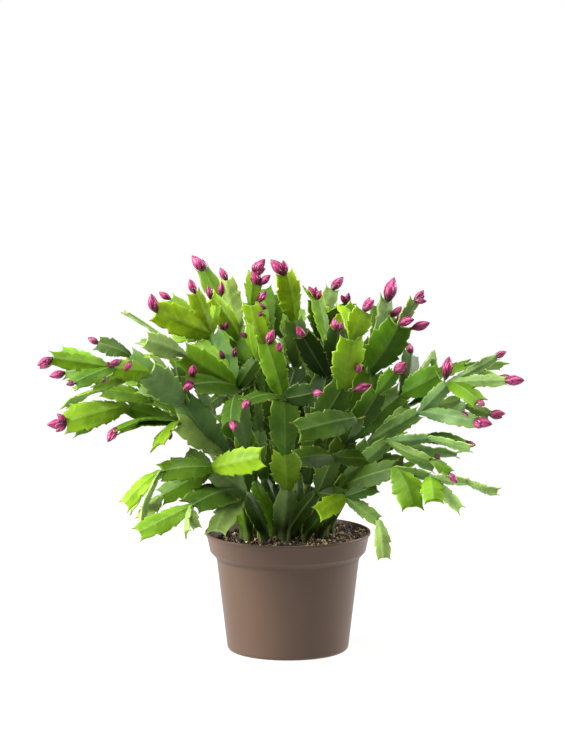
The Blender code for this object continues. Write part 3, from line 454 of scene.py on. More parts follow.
# stems of the seen side: the root in mm, then each pad's name, parent, the pixel of its end and how many mm
# that is in front of the axis, width in mm, turn in degrees, kind and tone
stems = {
    "left_long": ((-19, -2), (
        ("base", "", 246, 492, 10, 9, 50, "old", "d"),
        ("rise", "base", 224, 452, 20, 16, 10, "large", "d"),
        ("arm", "rise", 183, 402, 32, 21, -15, "large", "t"),
        ("arm_front", "arm", 148, 372, 48, 19, 10, "large", "p"),
        ("arm_back", "arm", 128, 354, 24, 16, -20, "large", "t"),
        ("arm_tip", "arm_back", 97, 343, 16, 12, 20, "small", "d"),
        ("reach", "arm_front", 112, 368, 54, 14, 0, "large", "b"),
        ("reach_tip", "reach", 50, 358, 60, 12, 10, "small", "b"),
        ("reach_low", "reach", 73, 384, 70, 11, 15, "small", "m"),
        ("level", "rise", 176, 422, 38, 15, 15, "large", "w"),
        ("level_out", "level", 126, 407, 44, 13, 0, "large", "m"),
        ("level_broad", "level_out", 63, 424, 52, 19, 0, "large", "b"),
        ("level_thin", "level_out", 68, 408, 26, 9, 20, "small", "b"),
        ("level_low", "level", 113, 430, 62, 12, 65, "small", "m"),
        ("level_hung", "level", 157, 446, 66, 12, 30, "small", "b"),
    )),
    "left_low": ((-17, -14), (
        ("base", "", 244, 492, 22, 10, 30, "old", "d"),
        ("side", "base", 212, 468, 50, 17, 10, "large", "p"),
        ("side_out", "side", 160, 472, 60, 16, 10, "large", "m"),
        ("side_end", "side_out", 124, 506, 64, 11, 20, "small", "y"),
        ("side_edge", "side_out", 139, 531, 76, 16, 72, "large", "w"),
        ("side_dark", "side", 160, 497, 44, 16, 0, "large", "m"),
        ("bright", "side", 263, 457, 74, 15, 0, "large", "y"),
        ("drop", "base", 190, 507, 72, 18, 0, "large", "d"),
        ("drop_out", "drop", 137, 534, 86, 15, 0, "large", "b"),
        ("drop_edge", "drop", 186, 534, 90, 14, 65, "small", "p"),
        ("over_rim", "base", 216, 534, 62, 14, 20, "small", "w"),
    )),
    "upper_left": ((-11, 7), (
        ("base", "", 253, 480, 0, 10, 40, "old", "m"),
        ("rise", "base", 243, 432, 6, 17, 20, "large", "m"),
        ("high", "rise", 238, 388, 14, 20, 10, "large", "d"),
        ("broad", "high", 182, 353, 30, 20, 5, "large", "b"),
        ("broad_end", "broad", 145, 340, 38, 15, -10, "large", "w"),
        ("broad_edge", "broad", 125, 312, 20, 12, 72, "small", "p"),
        ("low", "high", 190, 386, 46, 20, 20, "large", "d"),
        ("top", "high", 211, 334, -4, 18, 0, "large", "t"),
        ("top_left", "top", 153, 311, 8, 20, 0, "large", "y"),
        ("top_thin", "top", 169, 298, -14, 11, 45, "small", "b"),
        ("top_right", "top", 194, 291, -2, 13, 40, "small", "y"),
    )),
    "top_left": ((-5, 16), (
        ("base", "", 264, 478, -18, 10, 30, "old", "d"),
        ("rise", "base", 254, 430, -26, 18, 30, "large", "m"),
        ("high", "rise", 248, 384, -30, 20, 10, "large", "d"),
        ("higher", "high", 238, 338, -34, 18, -10, "large", "m"),
        ("top_mid", "higher", 226, 277, -34, 15, 10, "large", "w"),
        ("top_low", "higher", 209, 297, -22, 13, 30, "small", "y"),
        ("top_out", "higher", 202, 267, -50, 13, 20, "small", "m"),
        ("front", "high", 226, 362, -6, 13, 10, "small", "t"),
    )),
    "top_middle": ((2, 6), (
        ("base", "", 284, 480, -8, 10, 60, "old", "d"),
        ("rise", "base", 281, 432, -14, 18, 30, "large", "d"),
        ("left", "rise", 267, 388, -14, 20, 20, "large", "d"),
        ("left_high", "left", 265, 345, -10, 18, 0, "large", "m"),
        ("left_top", "left_high", 251, 303, -2, 15, 0, "large", "y"),
        ("left_tip", "left_top", 254, 272, 2, 12, 10, "small", "b"),
        ("left_dark", "left_high", 263, 287, -32, 16, 20, "large", "m"),
        ("right", "rise", 297, 366, -30, 20, -15, "large", "k"),
        ("right_high", "right", 294, 319, -26, 18, 10, "large", "t"),
        ("right_top", "right_high", 285, 272, -20, 17, 0, "large", "y"),
    )),
    "centre_front": ((-4, -12), (
        ("base", "", 287, 488, 20, 15, 10, "old", "p"),
        ("rise", "base", 285, 452, 34, 18, 0, "large", "b"),
        ("high", "rise", 284, 398, 46, 20, 0, "large", "m"),
        ("broad", "high", 266, 341, 42, 18, 0, "large", "m"),
        ("left", "high", 246, 402, 64, 13, 35, "small", "d"),
        ("right", "high", 315, 392, 62, 13, 30, "small", "k"),
    )),
    "left_inner": ((-29, -11), (
        ("base", "", 242, 502, 26, 8, 10, "old", "m"),
        ("rise", "base", 246, 448, 36, 12, 20, "large", "d"),
        ("high", "rise", 236, 396, 40, 13, 20, "large", "t"),
        ("hung", "high", 231, 424, 66, 13, 10, "small", "d"),
    )),
    "right_high": ((7, -5), (
        ("base", "", 308, 482, 22, 10, 30, "old", "d"),
        ("rise", "base", 314, 433, 26, 18, 0, "large", "d"),
        ("side", "rise", 343, 386, 36, 21, 10, "large", "d"),
        ("broad", "side", 352, 337, 42, 22, 0, "large", "y"),
        ("broad_top", "broad", 364, 310, 36, 17, 10, "large", "y"),
        ("inner", "rise", 326, 376, 10, 22, 0, "large", "k"),
        ("inner_right", "inner", 338, 329, 4, 17, 15, "large", "k"),
        ("inner_left", "inner", 302, 335, 20, 16, -20, "large", "k"),
    )),
    "top_right": ((8, 16), (
        ("base", "", 300, 474, -34, 10, 20, "old", "d"),
        ("rise", "base", 308, 424, -44, 18, 20, "large", "d"),
        ("high", "rise", 314, 374, -50, 20, 10, "large", "d"),
        ("higher", "high", 318, 331, -48, 18, 0, "large", "d"),
        ("top", "higher", 316, 297, -42, 15, 0, "small", "y"),
        ("top_out", "higher", 332, 288, -60, 13, 10, "small", "p"),
    )),
    "right_back": ((17, 6), (
        ("base", "", 328, 486, -8, 10, 20, "old", "d"),
        ("rise", "base", 348, 438, -6, 18, 0, "large", "d"),
        ("high", "rise", 370, 370, -6, 22, 10, "large", "m"),
        ("broad", "high", 400, 323, 4, 25, 0, "large", "m"),
        ("broad_tip", "broad", 415, 300, 2, 9, 20, "small", "p"),
        ("thin", "high", 387, 297, -20, 13, 15, "large", "p"),
        ("side", "rise", 403, 393, 10, 19, 0, "large", "d"),
        ("side_bright", "side", 440, 374, 20, 18, 0, "large", "m"),
        ("side_top", "side", 411, 353, -8, 14, 10, "small", "d"),
        ("side_edge", "side", 430, 359, -28, 13, 55, "small", "p"),
    )),
    "right_inner": ((13, -15), (
        ("base", "", 326, 486, 20, 10, 10, "old", "d"),
        ("rise", "base", 346, 440, 38, 17, 0, "large", "d"),
        ("grey", "rise", 379, 391, 42, 18, 0, "large", "d"),
        ("grey_tip", "grey", 395, 371, 46, 12, 10, "small", "m"),
        ("forward", "rise", 355, 418, 56, 13, 10, "small", "d"),
        ("curled", "forward", 296, 432, 80, 17, 0, "large", "d"),
    )),
    "right_long": ((26, -3), (
        ("base", "", 334, 494, 12, 10, 10, "old", "d"),
        ("rise", "base", 371, 441, 20, 14, 0, "large", "t"),
        ("arm", "rise", 420, 412, 28, 12, 10, "large", "t"),
        ("fork", "arm", 449, 383, 32, 11, 0, "large", "p"),
        ("end_level", "fork", 509, 381, 46, 8, 20, "small", "p"),
        ("end_high", "fork", 498, 356, 20, 7, 20, "small", "p"),
        ("end_low", "fork", 480, 403, 58, 11, 10, "small", "m"),
        ("under_back", "arm", 466, 406, 6, 8, 50, "small", "p"),
        ("under", "arm", 478, 422, 52, 9, 20, "large", "p"),
    )),
    "right_low": ((23, -15), (
        ("base", "", 346, 474, 30, 10, 10, "old", "d"),
        ("rise", "base", 388, 441, 48, 11, 10, "large", "t"),
        ("out", "rise", 430, 438, 54, 8, 50, "large", "p"),
        ("out_end", "out", 472, 449, 60, 8, 50, "small", "w"),
        ("under", "rise", 433, 461, 70, 8, 50, "large", "t"),
        ("under_end", "under", 450, 474, 76, 8, 10, "small", "m"),
    )),
    "right_lowest": ((13, -26), (
        ("base", "", 340, 488, 36, 10, 10, "old", "d"),
        ("rise", "base", 396, 468, 64, 13, 0, "large", "d"),
        ("out", "rise", 430, 477, 70, 9, 50, "small", "t"),
        ("out_far", "out", 468, 482, 74, 8, 50, "small", "w"),
        ("out_end", "out_far", 499, 492, 76, 8, 50, "small", "w"),
        ("hung_bright", "rise", 413, 509, 84, 16, 0, "small", "b"),
        ("hung_mid", "out", 434, 502, 88, 12, 10, "small", "b"),
        ("hung_pale", "out", 461, 511, 80, 11, 65, "small", "w"),
    )),
    "front_right": ((2, -22), (
        ("base", "", 318, 492, 34, 10, 0, "old", "k"),
        ("forward", "base", 345, 497, 48, 12, 10, "small", "d"),
        ("over_rim", "forward", 379, 521, 60, 10, 20, "small", "t"),
        ("below_rim", "over_rim", 384, 560, 66, 12, 10, "small", "w"),
        ("bright", "forward", 317, 514, 58, 14, 0, "small", "y"),
        ("rise", "base", 333, 457, 50, 14, 0, "large", "d"),
        ("curled", "rise", 297, 459, 72, 14, 10, "large", "d"),
    )),
}

# stems of the far side, by rule: the way each leans in degrees, how high it arches, and its root's distance
farStems = {
    "far_right": (12, 0.25, 32),
    "far_right_high": (50, 0.75, 28),
    "far_middle": (82, 0.22, 33),
    "far_middle_high": (112, 0.85, 30),
    "far_left": (140, 0.30, 34),
    "far_left_low": (172, 0.10, 33),
}
farPads = (
    # name, parent, low and high rise and swing in degrees, length, width, kind and tone
    ("base", "", 68, 82, 0, 38, 11, "old", "d"),
    ("rise", "base", 52, 76, 4, 42, 22, "large", "d"),
    ("left", "rise", 34, 70, 26, 42, 23, "large", "m"),
    ("right", "rise", 40, 64, -28, 42, 23, "large", "d"),
    ("left_out", "left", 4, 52, 14, 38, 20, "large", "m"),
    ("right_out", "right", 14, 42, -14, 38, 19, "large", "m"),
    ("left_end", "left_out", -30, 28, -14, 32, 14, "small", "b"),
    ("right_end", "right_out", -18, 18, 18, 32, 14, "small", "b"),
    ("low", "base", 4, 22, -44, 38, 19, "small", "m"),
)

# clusters that grow from a corner of their pad's end, and which one
budCorners = {
    ("top_middle", "left_top"): 1,
    ("right_high", "side"): 1,
    ("right_back", "broad"): 1,
    ("right_long", "fork"): -1,
}
# bud clusters: stem and pad, then each bud's length in mm and its lean in degrees to the right and up
budClusters = (
    ("left_long", "arm_tip", ((9, 0, 10),)),
    ("left_long", "reach_tip", ((13, 0, -40), (9, 10, -75))),
    ("left_long", "reach_low", ((7, 0, 10),)),
    ("left_long", "level_broad", ((13, 0, 10), (9, 0, -35), (9, 20, 45))),
    ("left_long", "level_low", ((12, 20, -40),)),
    ("upper_left", "low", ((10, 0, -20), (8, 0, 30))),
    ("upper_left", "top_left", ((14, 35, 30),)),
    ("upper_left", "top_right", ((11, 0, 0),)),
    ("top_left", "top_mid", ((10, -20, 0),)),
    ("top_left", "front", ((10, 0, 10), (8, 30, 20))),
    ("top_left", "top_out", ((14, -15, 0), (8, 20, 10))),
    ("top_middle", "left_top", ((9, 25, 0),)),
    ("top_middle", "left_tip", ((13, 35, 0), (9, 75, -20), (8, 10, 10))),
    ("top_middle", "right_top", ((15, -40, 0), (10, 0, 0))),
    ("centre_front", "broad", ((11, 40, 0), (9, 75, -10))),
    ("centre_front", "left", ((10, 30, -20),)),
    ("centre_front", "right", ((9, -10, -10),)),
    ("left_inner", "hung", ((10, 20, 0),)),
    ("right_high", "broad_top", ((11, 0, 0), (9, 40, 10))),
    ("right_high", "side", ((12, 70, 10),)),
    ("right_high", "inner_right", ((10, -30, 0), (8, 20, 0))),
    ("right_high", "inner_left", ((10, 0, 0),)),
    ("top_right", "top", ((11, -30, 0), (9, 0, 0))),
    ("top_right", "top_out", ((13, 30, 0),)),
    ("right_back", "broad", ((12, 40, 0),)),
    ("right_back", "thin", ((18, 5, 0),)),
    ("right_back", "broad_tip", ((10, 10, 0), (8, 50, 0))),
    ("right_back", "side_top", ((10, -20, 0),)),
    ("right_inner", "grey_tip", ((11, 20, 0), (9, 60, 0))),
    ("right_long", "end_level", ((14, 0, 0),)),
    ("right_long", "end_high", ((9, 0, 0),)),
    ("right_long", "end_low", ((8, 0, 0),)),
    ("right_long", "fork", ((15, 0, 30),)),
    ("right_long", "under", ((14, 0, 0), (10, -30, -10))),
    ("right_low", "under_end", ((9, 0, -20),)),
    ("far_right", "left_end", ((13, 0, 0),)),
    ("far_middle", "left_end", ((12, 20, 0), (9, -20, 0))),
)


def sightPoint(across, down, near):
    # where the ray of a pixel meets the upright plane that stands this many mm in front of the axis
    eye = sightTarget + sightToward * view["distance"]
    right = (across - view["centre"][0]) * view["pixel"]
    rise = (view["centre"][1] - down) * view["pixel"]
    ray = sightTarget + Vector((right, 0, 0)) + sightUp * rise - eye
    return eye + ray * ((-near * view["depthSpread"] * millimetre - eye.y) / ray.y)


def turned(facing, along, degrees):
    # one direction turned round another
    return Quaternion(along, math.radians(degrees)) @ facing


class Pad:
    # one pad's own axes: from its joint to its end, across, and off its face
    def __init__(self, start, joint, end, facing, width, kind, arch):
        self.start = start
        self.joint = joint
        self.end = end
        self.kind = kind
        self.arch = arch
        self.half = width / 2
        self.length = (end - joint).length
        self.along = (end - joint).normalized()
        self.normal = (facing - self.along * facing.dot(self.along)).normalized()
        self.side = self.along.cross(self.normal)
        self.tone = None

    def place(self, share, across, height):
        # joint + along * share + side * across + normal * (height + arch - fold), for whole arrays
        share, across, height = np.broadcast_arrays(share, across, height)
        inside = np.clip(share, 0, 1)
        lift = height + self.arch * self.length * 4 * inside * (1 - inside) - layout["fold"] * np.abs(across)
        return (np.array(self.joint) + share[..., None] * self.length * np.array(self.along)
                + across[..., None] * np.array(self.side) + lift[..., None] * np.array(self.normal))


def startOf(host, joint):
    # where a pad begins: sunk into the pad that it grows from, or straight down into the foot of its stem
    sunk = layout["sunk"] * millimetre
    if host:
        return Vector(host.place(1 - sunk / host.length, 0, 0))
    return joint - Vector((0, 0, sunk))


def nodePoints(name):
    # the corners of a solid, in metres
    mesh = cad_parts[name].data
    points = np.zeros(len(mesh.vertices) * 3, np.float32)
    mesh.vertices.foreach_get("co", points)
    return points.reshape(-1, 3).astype(float)


def distanceTo(solid, points):
    # from each point to the nearest corner of the solid; the middle one of these distances
    gaps = np.linalg.norm(points[:, None] - solid[None], axis=-1).min(axis=1)
    return float(np.median(gaps))


def solidCorners(pad):
    # the corners that this pad has in its solid, without the last, which both edges share
    outline = solidOutlines[pad.kind]
    found = []
    for hand in (1, -1):
        for number, (share, wide, tooth) in enumerate(outline[:-1]):
            if hand < 0 and 0 < number < len(outline) - 2:
                share -= layout["stagger"]
            thick = 0 if tooth else solidEdges[pad.kind] * millimetre
            found.append(pad.place(share, hand * wide * pad.half, thick))
    return np.array(found)


# bends by the end's shift in mm and the turn in degrees, the smallest first
choices = sorted(
    ((shift, turn) for shift in layout["shifts"] for turn in layout["turns"]),
    key=lambda choice: abs(choice[0]) / 10 + abs(choice[1]) / 24,
)


def settledPad(solid, start, joint, end, slide, facing, width, kind, arch):
    # the solid's pad was bent clear of its neighbours, and the bend that lies on its corners is the same one
    best, leastGap = None, 1.0
    for shift, turn in choices:
        moved = end + slide * (shift * millimetre)
        along = (moved - joint).normalized()
        pad = Pad(start, joint, moved, turned(facing, along, turn), width, kind, arch)
        gap = distanceTo(solid, solidCorners(pad))
        if gap < leastGap - 1e-7:
            best, leastGap = pad, gap
    return best, leastGap


def nearRow(row, joint):
    # a row's end on its pixel's ray, and the way its face looks: to the viewer, up and out
    label, parent, across, down, near, width, roll, kind, tone = row
    end = sightPoint(across, down, near)
    outward = (end + joint) / 2
    outward.z = 0
    facing = sightToward + Vector((0, 0, layout["faceUp"])) + outward.normalized() * layout["faceOut"]
    return label, parent, end, sightToward, facing, roll, width * millimetre * layout["broader"], kind, tone


def nearRows(name, joints):
    # the rows of a seen stem, each from the joint at its parent's end
    for row in stems[name][1]:
        yield nearRow(row, joints[row[1]])


def farRows(name, joints):
    # each pad leaves its parent's end at a rise and a swing of its own, give or take some degrees
    lean, high, _reach = farStems[name]
    chance = random.Random(layout["seed"] + len(name) * 7 + lean)
    for label, parent, lowRise, highRise, swing, length, width, kind, tone in farPads:
        spread = layout["riseSpread"]
        rise = math.radians(lowRise + (highRise - lowRise) * high + chance.uniform(-spread, spread))
        spread = layout["waySpread"]
        roundWay = math.radians(lean + swing + chance.uniform(-spread, spread))
        out = Vector((math.cos(roundWay), math.sin(roundWay), 0))
        along = out * math.cos(rise) + Vector((0, 0, math.sin(rise)))
        end = joints[parent] + along * (length * millimetre * chance.uniform(*layout["lengthSpread"]))
        facing = Vector((0, 0, 1)) + out * 0.5
        slide = Vector((-out.y, out.x, 0))
        roll = chance.uniform(-layout["farRoll"], layout["farRoll"])
        yield label, parent, end, slide, facing, roll, width * millimetre, kind, tone


def footTop(name):
    # where a stem's first pad grows from: above its root, a little over the soil
    if name in farStems:
        lean, _high, reach = farStems[name]
        x = reach * math.cos(math.radians(lean)) * millimetre
        y = reach * math.sin(math.radians(lean)) * millimetre
    else:
        x, y = (value * millimetre for value in stems[name][0])
    return Vector((x, y, float(soilHeight(x, y)))) + Vector((0, 0, layout["postRise"] * millimetre))


def growStem(name):
    # every pad of a stem, from the root on, and the widest gap to the solid's
    solid = nodePoints("leafy_stem_" + name)
    far = name in farStems
    joints = {"": footTop(name)}
    pads = {}
    chance = random.Random(layout["seed"] + sum(map(ord, name)))
    widest = 0.0
    rows = farRows if far else nearRows
    for label, parent, end, slide, facing, roll, width, kind, tone in rows(name, joints):
        joint = joints[parent]
        start = startOf(pads.get(parent), joint)
        along = (end - joint).normalized()
        flat = (facing - along * facing.dot(along)).normalized()
        roll += chance.uniform(-layout["rollSpread"], layout["rollSpread"])
        face = turned(flat, along, roll)
        if not far and abs(roll) < layout["edgeOn"]:
            width /= max(face.dot(sightToward), layout["leastShown"])
        arch = layout["arch"] * chance.uniform(*layout["archSpread"])
        pad, gap = settledPad(solid, start, joint, end, slide, face, width, kind, arch)
        widest = max(widest, gap)
        pad.tone = tone
        pads[label] = pad
        joints[label] = pad.end
    return pads, widest


# the finer form of a pad: thicknesses and depths in mm, the rest as shares of its own size
padForm = {
    "edgeThick": 0.50,
    "bladeThick": 0.42,
    "ribThick": 0.55,
    "ribWidth": 1.15,
    "oldEdge": 0.65,
    "oldMiddle": 1.75,
    "oldRib": 2.3,
    "neck": 0.36,
    "neckStart": 0.55,       # a neck's width where it starts, inside its parent
    "cup": 0.11,
    "cupSpread": (-0.6, 1.0),
    "wave": 0.75,
    "waveSpread": (0.4, 1.3),
    "wavePitch": 8.5,        # in radians over a pad's length
    "claw": 0.17,
    "twist": 0.12,
    "endBowl": -0.10,
    "oldBulge": 0.05,
    "foot": 3.1,
    "footDepth": 12,
    "footBend": 0.14,
    "footSwell": 1.08,       # how much the foot widens on its way up, and where
    "footSwellAt": 0.4,
    "footEnd": 0.62,
    "rowBack": 0.03,         # how far a row's middle lies before its edge, more at a tooth than at a notch
    "toothBack": 0.04,
    "notchBack": 0.012,
    "lastRow": 0.88,
    "rowBow": 1.7,
    "uneven": (0.012, 0.03),   # chance in a corner's place and width
    "toneSpread": 0.14,      # and in a pad's colour: its brightness, and its warmth by red, green and blue
    "warmthSpread": (0.12, 0.03, -0.10),
}
ringHalf = [0.17, 0.36, 0.56, 0.74, 0.88, 0.965, 1]
ringAcross = np.array([-place for place in ringHalf[::-1]] + [0] + ringHalf)
ringHand = np.concatenate([ringAcross, ringAcross[-2:0:-1]])
ringFace = np.concatenate([[0], np.ones(len(ringAcross) - 2), [0], -np.ones(len(ringAcross) - 2)])


def smooth(value, low, high):
    # 0 up to low, 1 from high on, and a smooth step between
    share = np.clip((value - low) / (high - low), 0, 1)
    return share * share * (3 - 2 * share)


def edgeCurve(pad, hand, jitter):
    # the outline of one side as spans between its corners: bulging after a notch, then drawn out to a claw
    outline = fineOutlines[pad.kind]
    last = len(outline) - 1
    old = pad.kind == "old"
    leastHalf = layout["neckHalfWidth"] * millimetre / pad.half
    neck = max(leastHalf, padForm["neck"])
    start = -layout["sunk"] * millimetre / pad.length
    corners = [(start, neck * padForm["neckStart"], 0, start), (0.0, neck, 0, 0.0)]
    if old:
        # the foot: round, and as deep in the soil as its hole
        foot = padForm["foot"] * millimetre / pad.half
        deep = -(layout["postRise"] + padForm["footDepth"]) * millimetre / pad.length
        swell = deep * padForm["footSwellAt"]
        corners = [(deep, foot, 0, deep), (swell, foot * padForm["footSwell"], 0, swell),
                   (0.0, max(foot, padForm["footEnd"]), 0, 0.0)]
    for number, (share, wide, tooth) in enumerate(outline):
        middle = share - padForm["rowBack"] - padForm["toothBack" if tooth else "notchBack"]
        if number == 0:
            middle = share
        elif number >= last - 1:
            middle = padForm["lastRow"] if tooth else share
        elif hand < 0:
            share -= layout["stagger"]
        if number < last:
            share += jitter[number, 0] * padForm["uneven"][0]
            wide *= 1 + jitter[number, 1] * padForm["uneven"][1]
        else:
            wide = max(wide, leastHalf)
        corners.append((share, wide, tooth, middle))
    rows = [np.array([corners[0]])]
    for (s0, w0, t0, m0), (s1, w1, t1, m1) in zip(corners, corners[1:]):
        count = 2 if t0 and s1 > s0 else 5 if (t0 or t1) else 4
        t = np.arange(1, count + 1) / count
        lean = np.array([(s1 - s0) * pad.length, (w1 - w0) * pad.half])
        size = np.hypot(*lean)
        outward = np.array([-lean[1], lean[0]]) / max(size, 1e-9)
        if t1:
            bulge = padForm["claw"] * size * np.sin(math.pi * t) * (1.15 - 1.9 * t)
        elif t0 and s1 < s0:
            bulge = padForm["endBowl"] * size * np.sin(math.pi * t)
        else:
            bulge = (padForm["oldBulge"] if old else 0) * size * np.sin(math.pi * t)
        share = s0 + (s1 - s0) * t + outward[0] * bulge / pad.length
        wide = w0 + (w1 - w0) * t + outward[1] * bulge / pad.half
        tooth = t0 * (1 - t) ** 2 + t1 * t ** 3
        rows.append(np.stack([share, wide, tooth, m0 + (m1 - m0) * t], axis=-1))
    return np.concatenate(rows)


def rooted(pad, share, places):
    # before its joint a pad goes on into its parent, and an old pad bends down into the soil
    if pad.kind == "old":
        bend = padForm["footBend"]
        under = np.where(share < -bend, -share, np.clip(bend - share, 0, None) ** 2 / (4 * bend))
        return places + (under * pad.length)[..., None] * (np.array(pad.along) - np.array((0, 0, 1)))
    sunk = layout["sunk"] * millimetre
    inward = np.array(pad.start - pad.joint + pad.along * sunk)
    return places + (np.clip(-share, 0, None) * pad.length / sunk)[..., None] * inward


def padBody(pad, chance):
    # rows run from the neck to the end, bowed between the midrib and the edges; across each, a ring over the
    # top face and back under: the blade and its rib, changing to a round neck or foot, with a cup and a wave
    outline = fineOutlines[pad.kind]
    old = pad.kind == "old"
    curves = [edgeCurve(pad, hand, chance.uniform(-1, 1, (len(outline), 2))) for hand in (1, -1)]
    middle = np.maximum.accumulate((curves[0][:, 3] + curves[1][:, 3]) / 2)[:, None]
    right, left = (curve[:, None, :3] for curve in curves)
    onRight = (ringHand >= 0)[None, :]
    edgeShare, edgeWide, tooth = (np.where(onRight, right[..., part], left[..., part]) for part in range(3))
    size = np.abs(ringHand)[None, :]
    share = middle + (edgeShare - middle) * size ** padForm["rowBow"]
    across = ringHand[None, :] * edgeWide * pad.half
    if old:
        rib = np.exp(-(across / (padForm["oldRib"] * millimetre)) ** 2)
        thick = padForm["oldEdge"] + padForm["oldMiddle"] * rib
        neck = padForm["foot"] * np.sqrt(1 - 0.96 * size ** 2)
        thick = neck + (thick - neck) * smooth(share, -0.12, 0.22)
    else:
        rib = np.exp(-(across / (padForm["ribWidth"] * millimetre)) ** 2) * (1 - 0.35 * share)
        thick = padForm["edgeThick"] + padForm["bladeThick"] * (1 - size ** 2.2) + padForm["ribThick"] * rib
        neck = layout["neckHalfThick"] * np.sqrt(1 - 0.75 * size ** 2)
        neck = neck * (0.6 + 0.4 * smooth(share, -0.08, 0.0))
        thick = thick + (neck - thick) * (1 - smooth(share, -0.02, 0.12))
    thick = thick * millimetre * ringFace[None, :]
    phase = chance.uniform(0, 2 * math.pi, 2)
    swell = chance.uniform(*padForm["waveSpread"]) * padForm["wave"] * millimetre
    wave = swell * size ** 2 * np.sin(share * padForm["wavePitch"] + np.where(onRight, phase[0], phase[1]))
    wave = wave * smooth(share, 0.05, 0.3) * (0.4 if old else 1)
    twist = across * chance.uniform(-1, 1) * padForm["twist"] * share
    cup = chance.uniform(*padForm["cupSpread"]) * padForm["cup"] * pad.half
    cup = cup * size ** 2 * smooth(share, 0.0, 0.35)
    points = rooted(pad, share, pad.place(share, across, thick + wave + twist - cup))
    firstPole = rooted(pad, middle[0, 0], pad.place(middle[0, 0], 0, 0))
    lastPole = pad.place(middle[-1, 0] + 0.004, 0, 0)
    return gridBody(points, firstPole, lastPole), size + 0 * share, share, tooth * size ** 10


def toneOf(pad, chance):
    # the tone's colour, a little to either side of it
    color = np.array(tones[pad.tone])
    warm = chance.uniform(-1, 1)
    light = padForm["toneSpread"] * chance.uniform(-1, 1)
    color = color * (1 + light) * (1 + np.array(padForm["warmthSpread"]) * warm)
    return np.append(np.clip(color, 0, 1), 1)


def addPad(piece, pad, chance):
    # one pad's body, with where each point lies along and across it, its claws, its cork and its tone
    (points, quads, triangles), size, share, tip = padBody(pad, chance)
    wood = 0.5 * (1 - smooth(share, -0.10, 0.20)) if pad.kind == "old" else 0 * share
    piece.add(points, quads, triangles, across=withPoles(size), along=withPoles(np.clip(share, 0, 1)),
              tip=withPoles(tip), wood=withPoles(wood), tint=np.tile(toneOf(pad, chance), (len(points), 1)))


def padsPiece(name, pads, seed):
    # the pads of one stem as one piece, with its own draws
    chance = np.random.default_rng(seed)
    piece = Piece(name, leafMaterial)
    for pad in pads:
        addPad(piece, pad, chance)
    return piece.build()


grown = {}
widest = 0.0
for name in [*stems, *farStems]:
    grown[name], gap = growStem(name)
    widest = max(widest, gap)
print("pads settled:", sum(map(len, grown.values())), "worst gap mm:", round(widest / millimetre, 4))
for name, pads in grown.items():
    made = padsPiece("pads_" + name, pads.values(), layout["seed"] + len(name))
    fit(made, "leafy_stem_" + name)
print("leafy stems made")


# more pads of the seen side, in rows like those of the stems; they grow from the pads above
morePads = {
    "left_long": (
        ("reach_dark", "reach", 64, 373, 40, 12, 0, "small", "m"),
        ("level_dark", "level_out", 73, 431, 36, 12, 0, "small", "d"),
        ("reach_top", "reach", 60, 351, 42, 10, 0, "small", "b"),
        ("reach_fill", "arm_front", 91, 390, 40, 11, 20, "small", "m"),
        ("arm_low", "arm", 138, 388, 20, 11, 20, "small", "t"),
        ("arm_top", "arm", 177, 366, 22, 13, 0, "small", "d"),
        ("level_under", "level", 117, 431, 50, 8, 40, "small", "m"),
    ),
    "left_low": (
        ("drop_under", "side_dark", 142, 520, 56, 14, 0, "small", "w"),
        ("side_top", "side", 186, 453, 34, 13, 0, "small", "d"),
        ("side_pale", "side_out", 130, 511, 50, 8, 30, "small", "w"),
        ("drop_pale", "drop", 197, 529, 80, 9, 20, "small", "w"),
    ),
    "upper_left": (
        ("edge_low", "broad", 139, 341, 20, 10, 40, "small", "p"),
        ("low_fill", "high", 211, 404, 8, 13, 10, "small", "d"),
        ("mid", "high", 197, 340, -2, 14, 10, "large", "b"),
        ("top_up", "top", 216, 305, -14, 9, 30, "small", "b"),
        ("top_low", "top", 171, 338, -8, 12, 10, "small", "b"),
    ),
    "top_middle": (("base_left", "", 275, 484, -14, 9, 20, "old", "k"),),
    "top_right": (
        ("base_right", "", 312, 486, -20, 9, 20, "old", "k"),
        ("top_side", "higher", 347, 303, -24, 17, -20, "small", "b"),
        ("top_thin", "higher", 307, 289, -30, 10, 30, "small", "b"),
    ),
    "right_back": (("thin_low", "high", 375, 303, -26, 11, 20, "small", "m"),),
    "right_high": (("broad_side", "broad", 343, 306, 14, 14, 20, "small", "y"),),
    "right_long": (
        ("under_far", "under_back", 490, 415, 10, 9, 20, "small", "t"),
        ("fork_low", "arm", 461, 398, 14, 8, 20, "small", "t"),
        ("rise_up", "rise", 411, 405, 8, 10, 10, "small", "t"),
    ),
    "right_low": (
        ("out_low", "rise", 460, 455, 40, 6, 40, "small", "p"),
        ("under_low", "rise", 436, 470, 56, 8, 40, "small", "t"),
    ),
    "right_lowest": (("hung_low", "rise", 423, 489, 72, 8, 30, "small", "b"),),
    "front_right": (
        ("dark", "rise", 370, 459, 44, 13, 10, "large", "d"),
        ("dark_end", "dark", 405, 462, 44, 11, 10, "small", "d"),
        ("low_dark", "forward", 378, 486, 56, 12, 0, "small", "d"),
    ),
}


def growMorePads(name):
    # rows turned by their own degrees alone, with the plain arch and no bend to find
    pads = grown[name]
    made = {}
    for row in morePads.get(name, ()):
        host = made.get(row[1]) or pads.get(row[1])
        joint = host.end if host else footTop(name)
        label, _parent, end, _slide, facing, roll, width, kind, tone = nearRow(row, joint)
        face = turned(facing, (end - joint).normalized(), roll)
        made[label] = Pad(startOf(host, joint), joint, end, face, width, kind, layout["arch"])
        made[label].tone = tone
    return list(made.values())


moreGrown = {name: growMorePads(name) for name in grown}

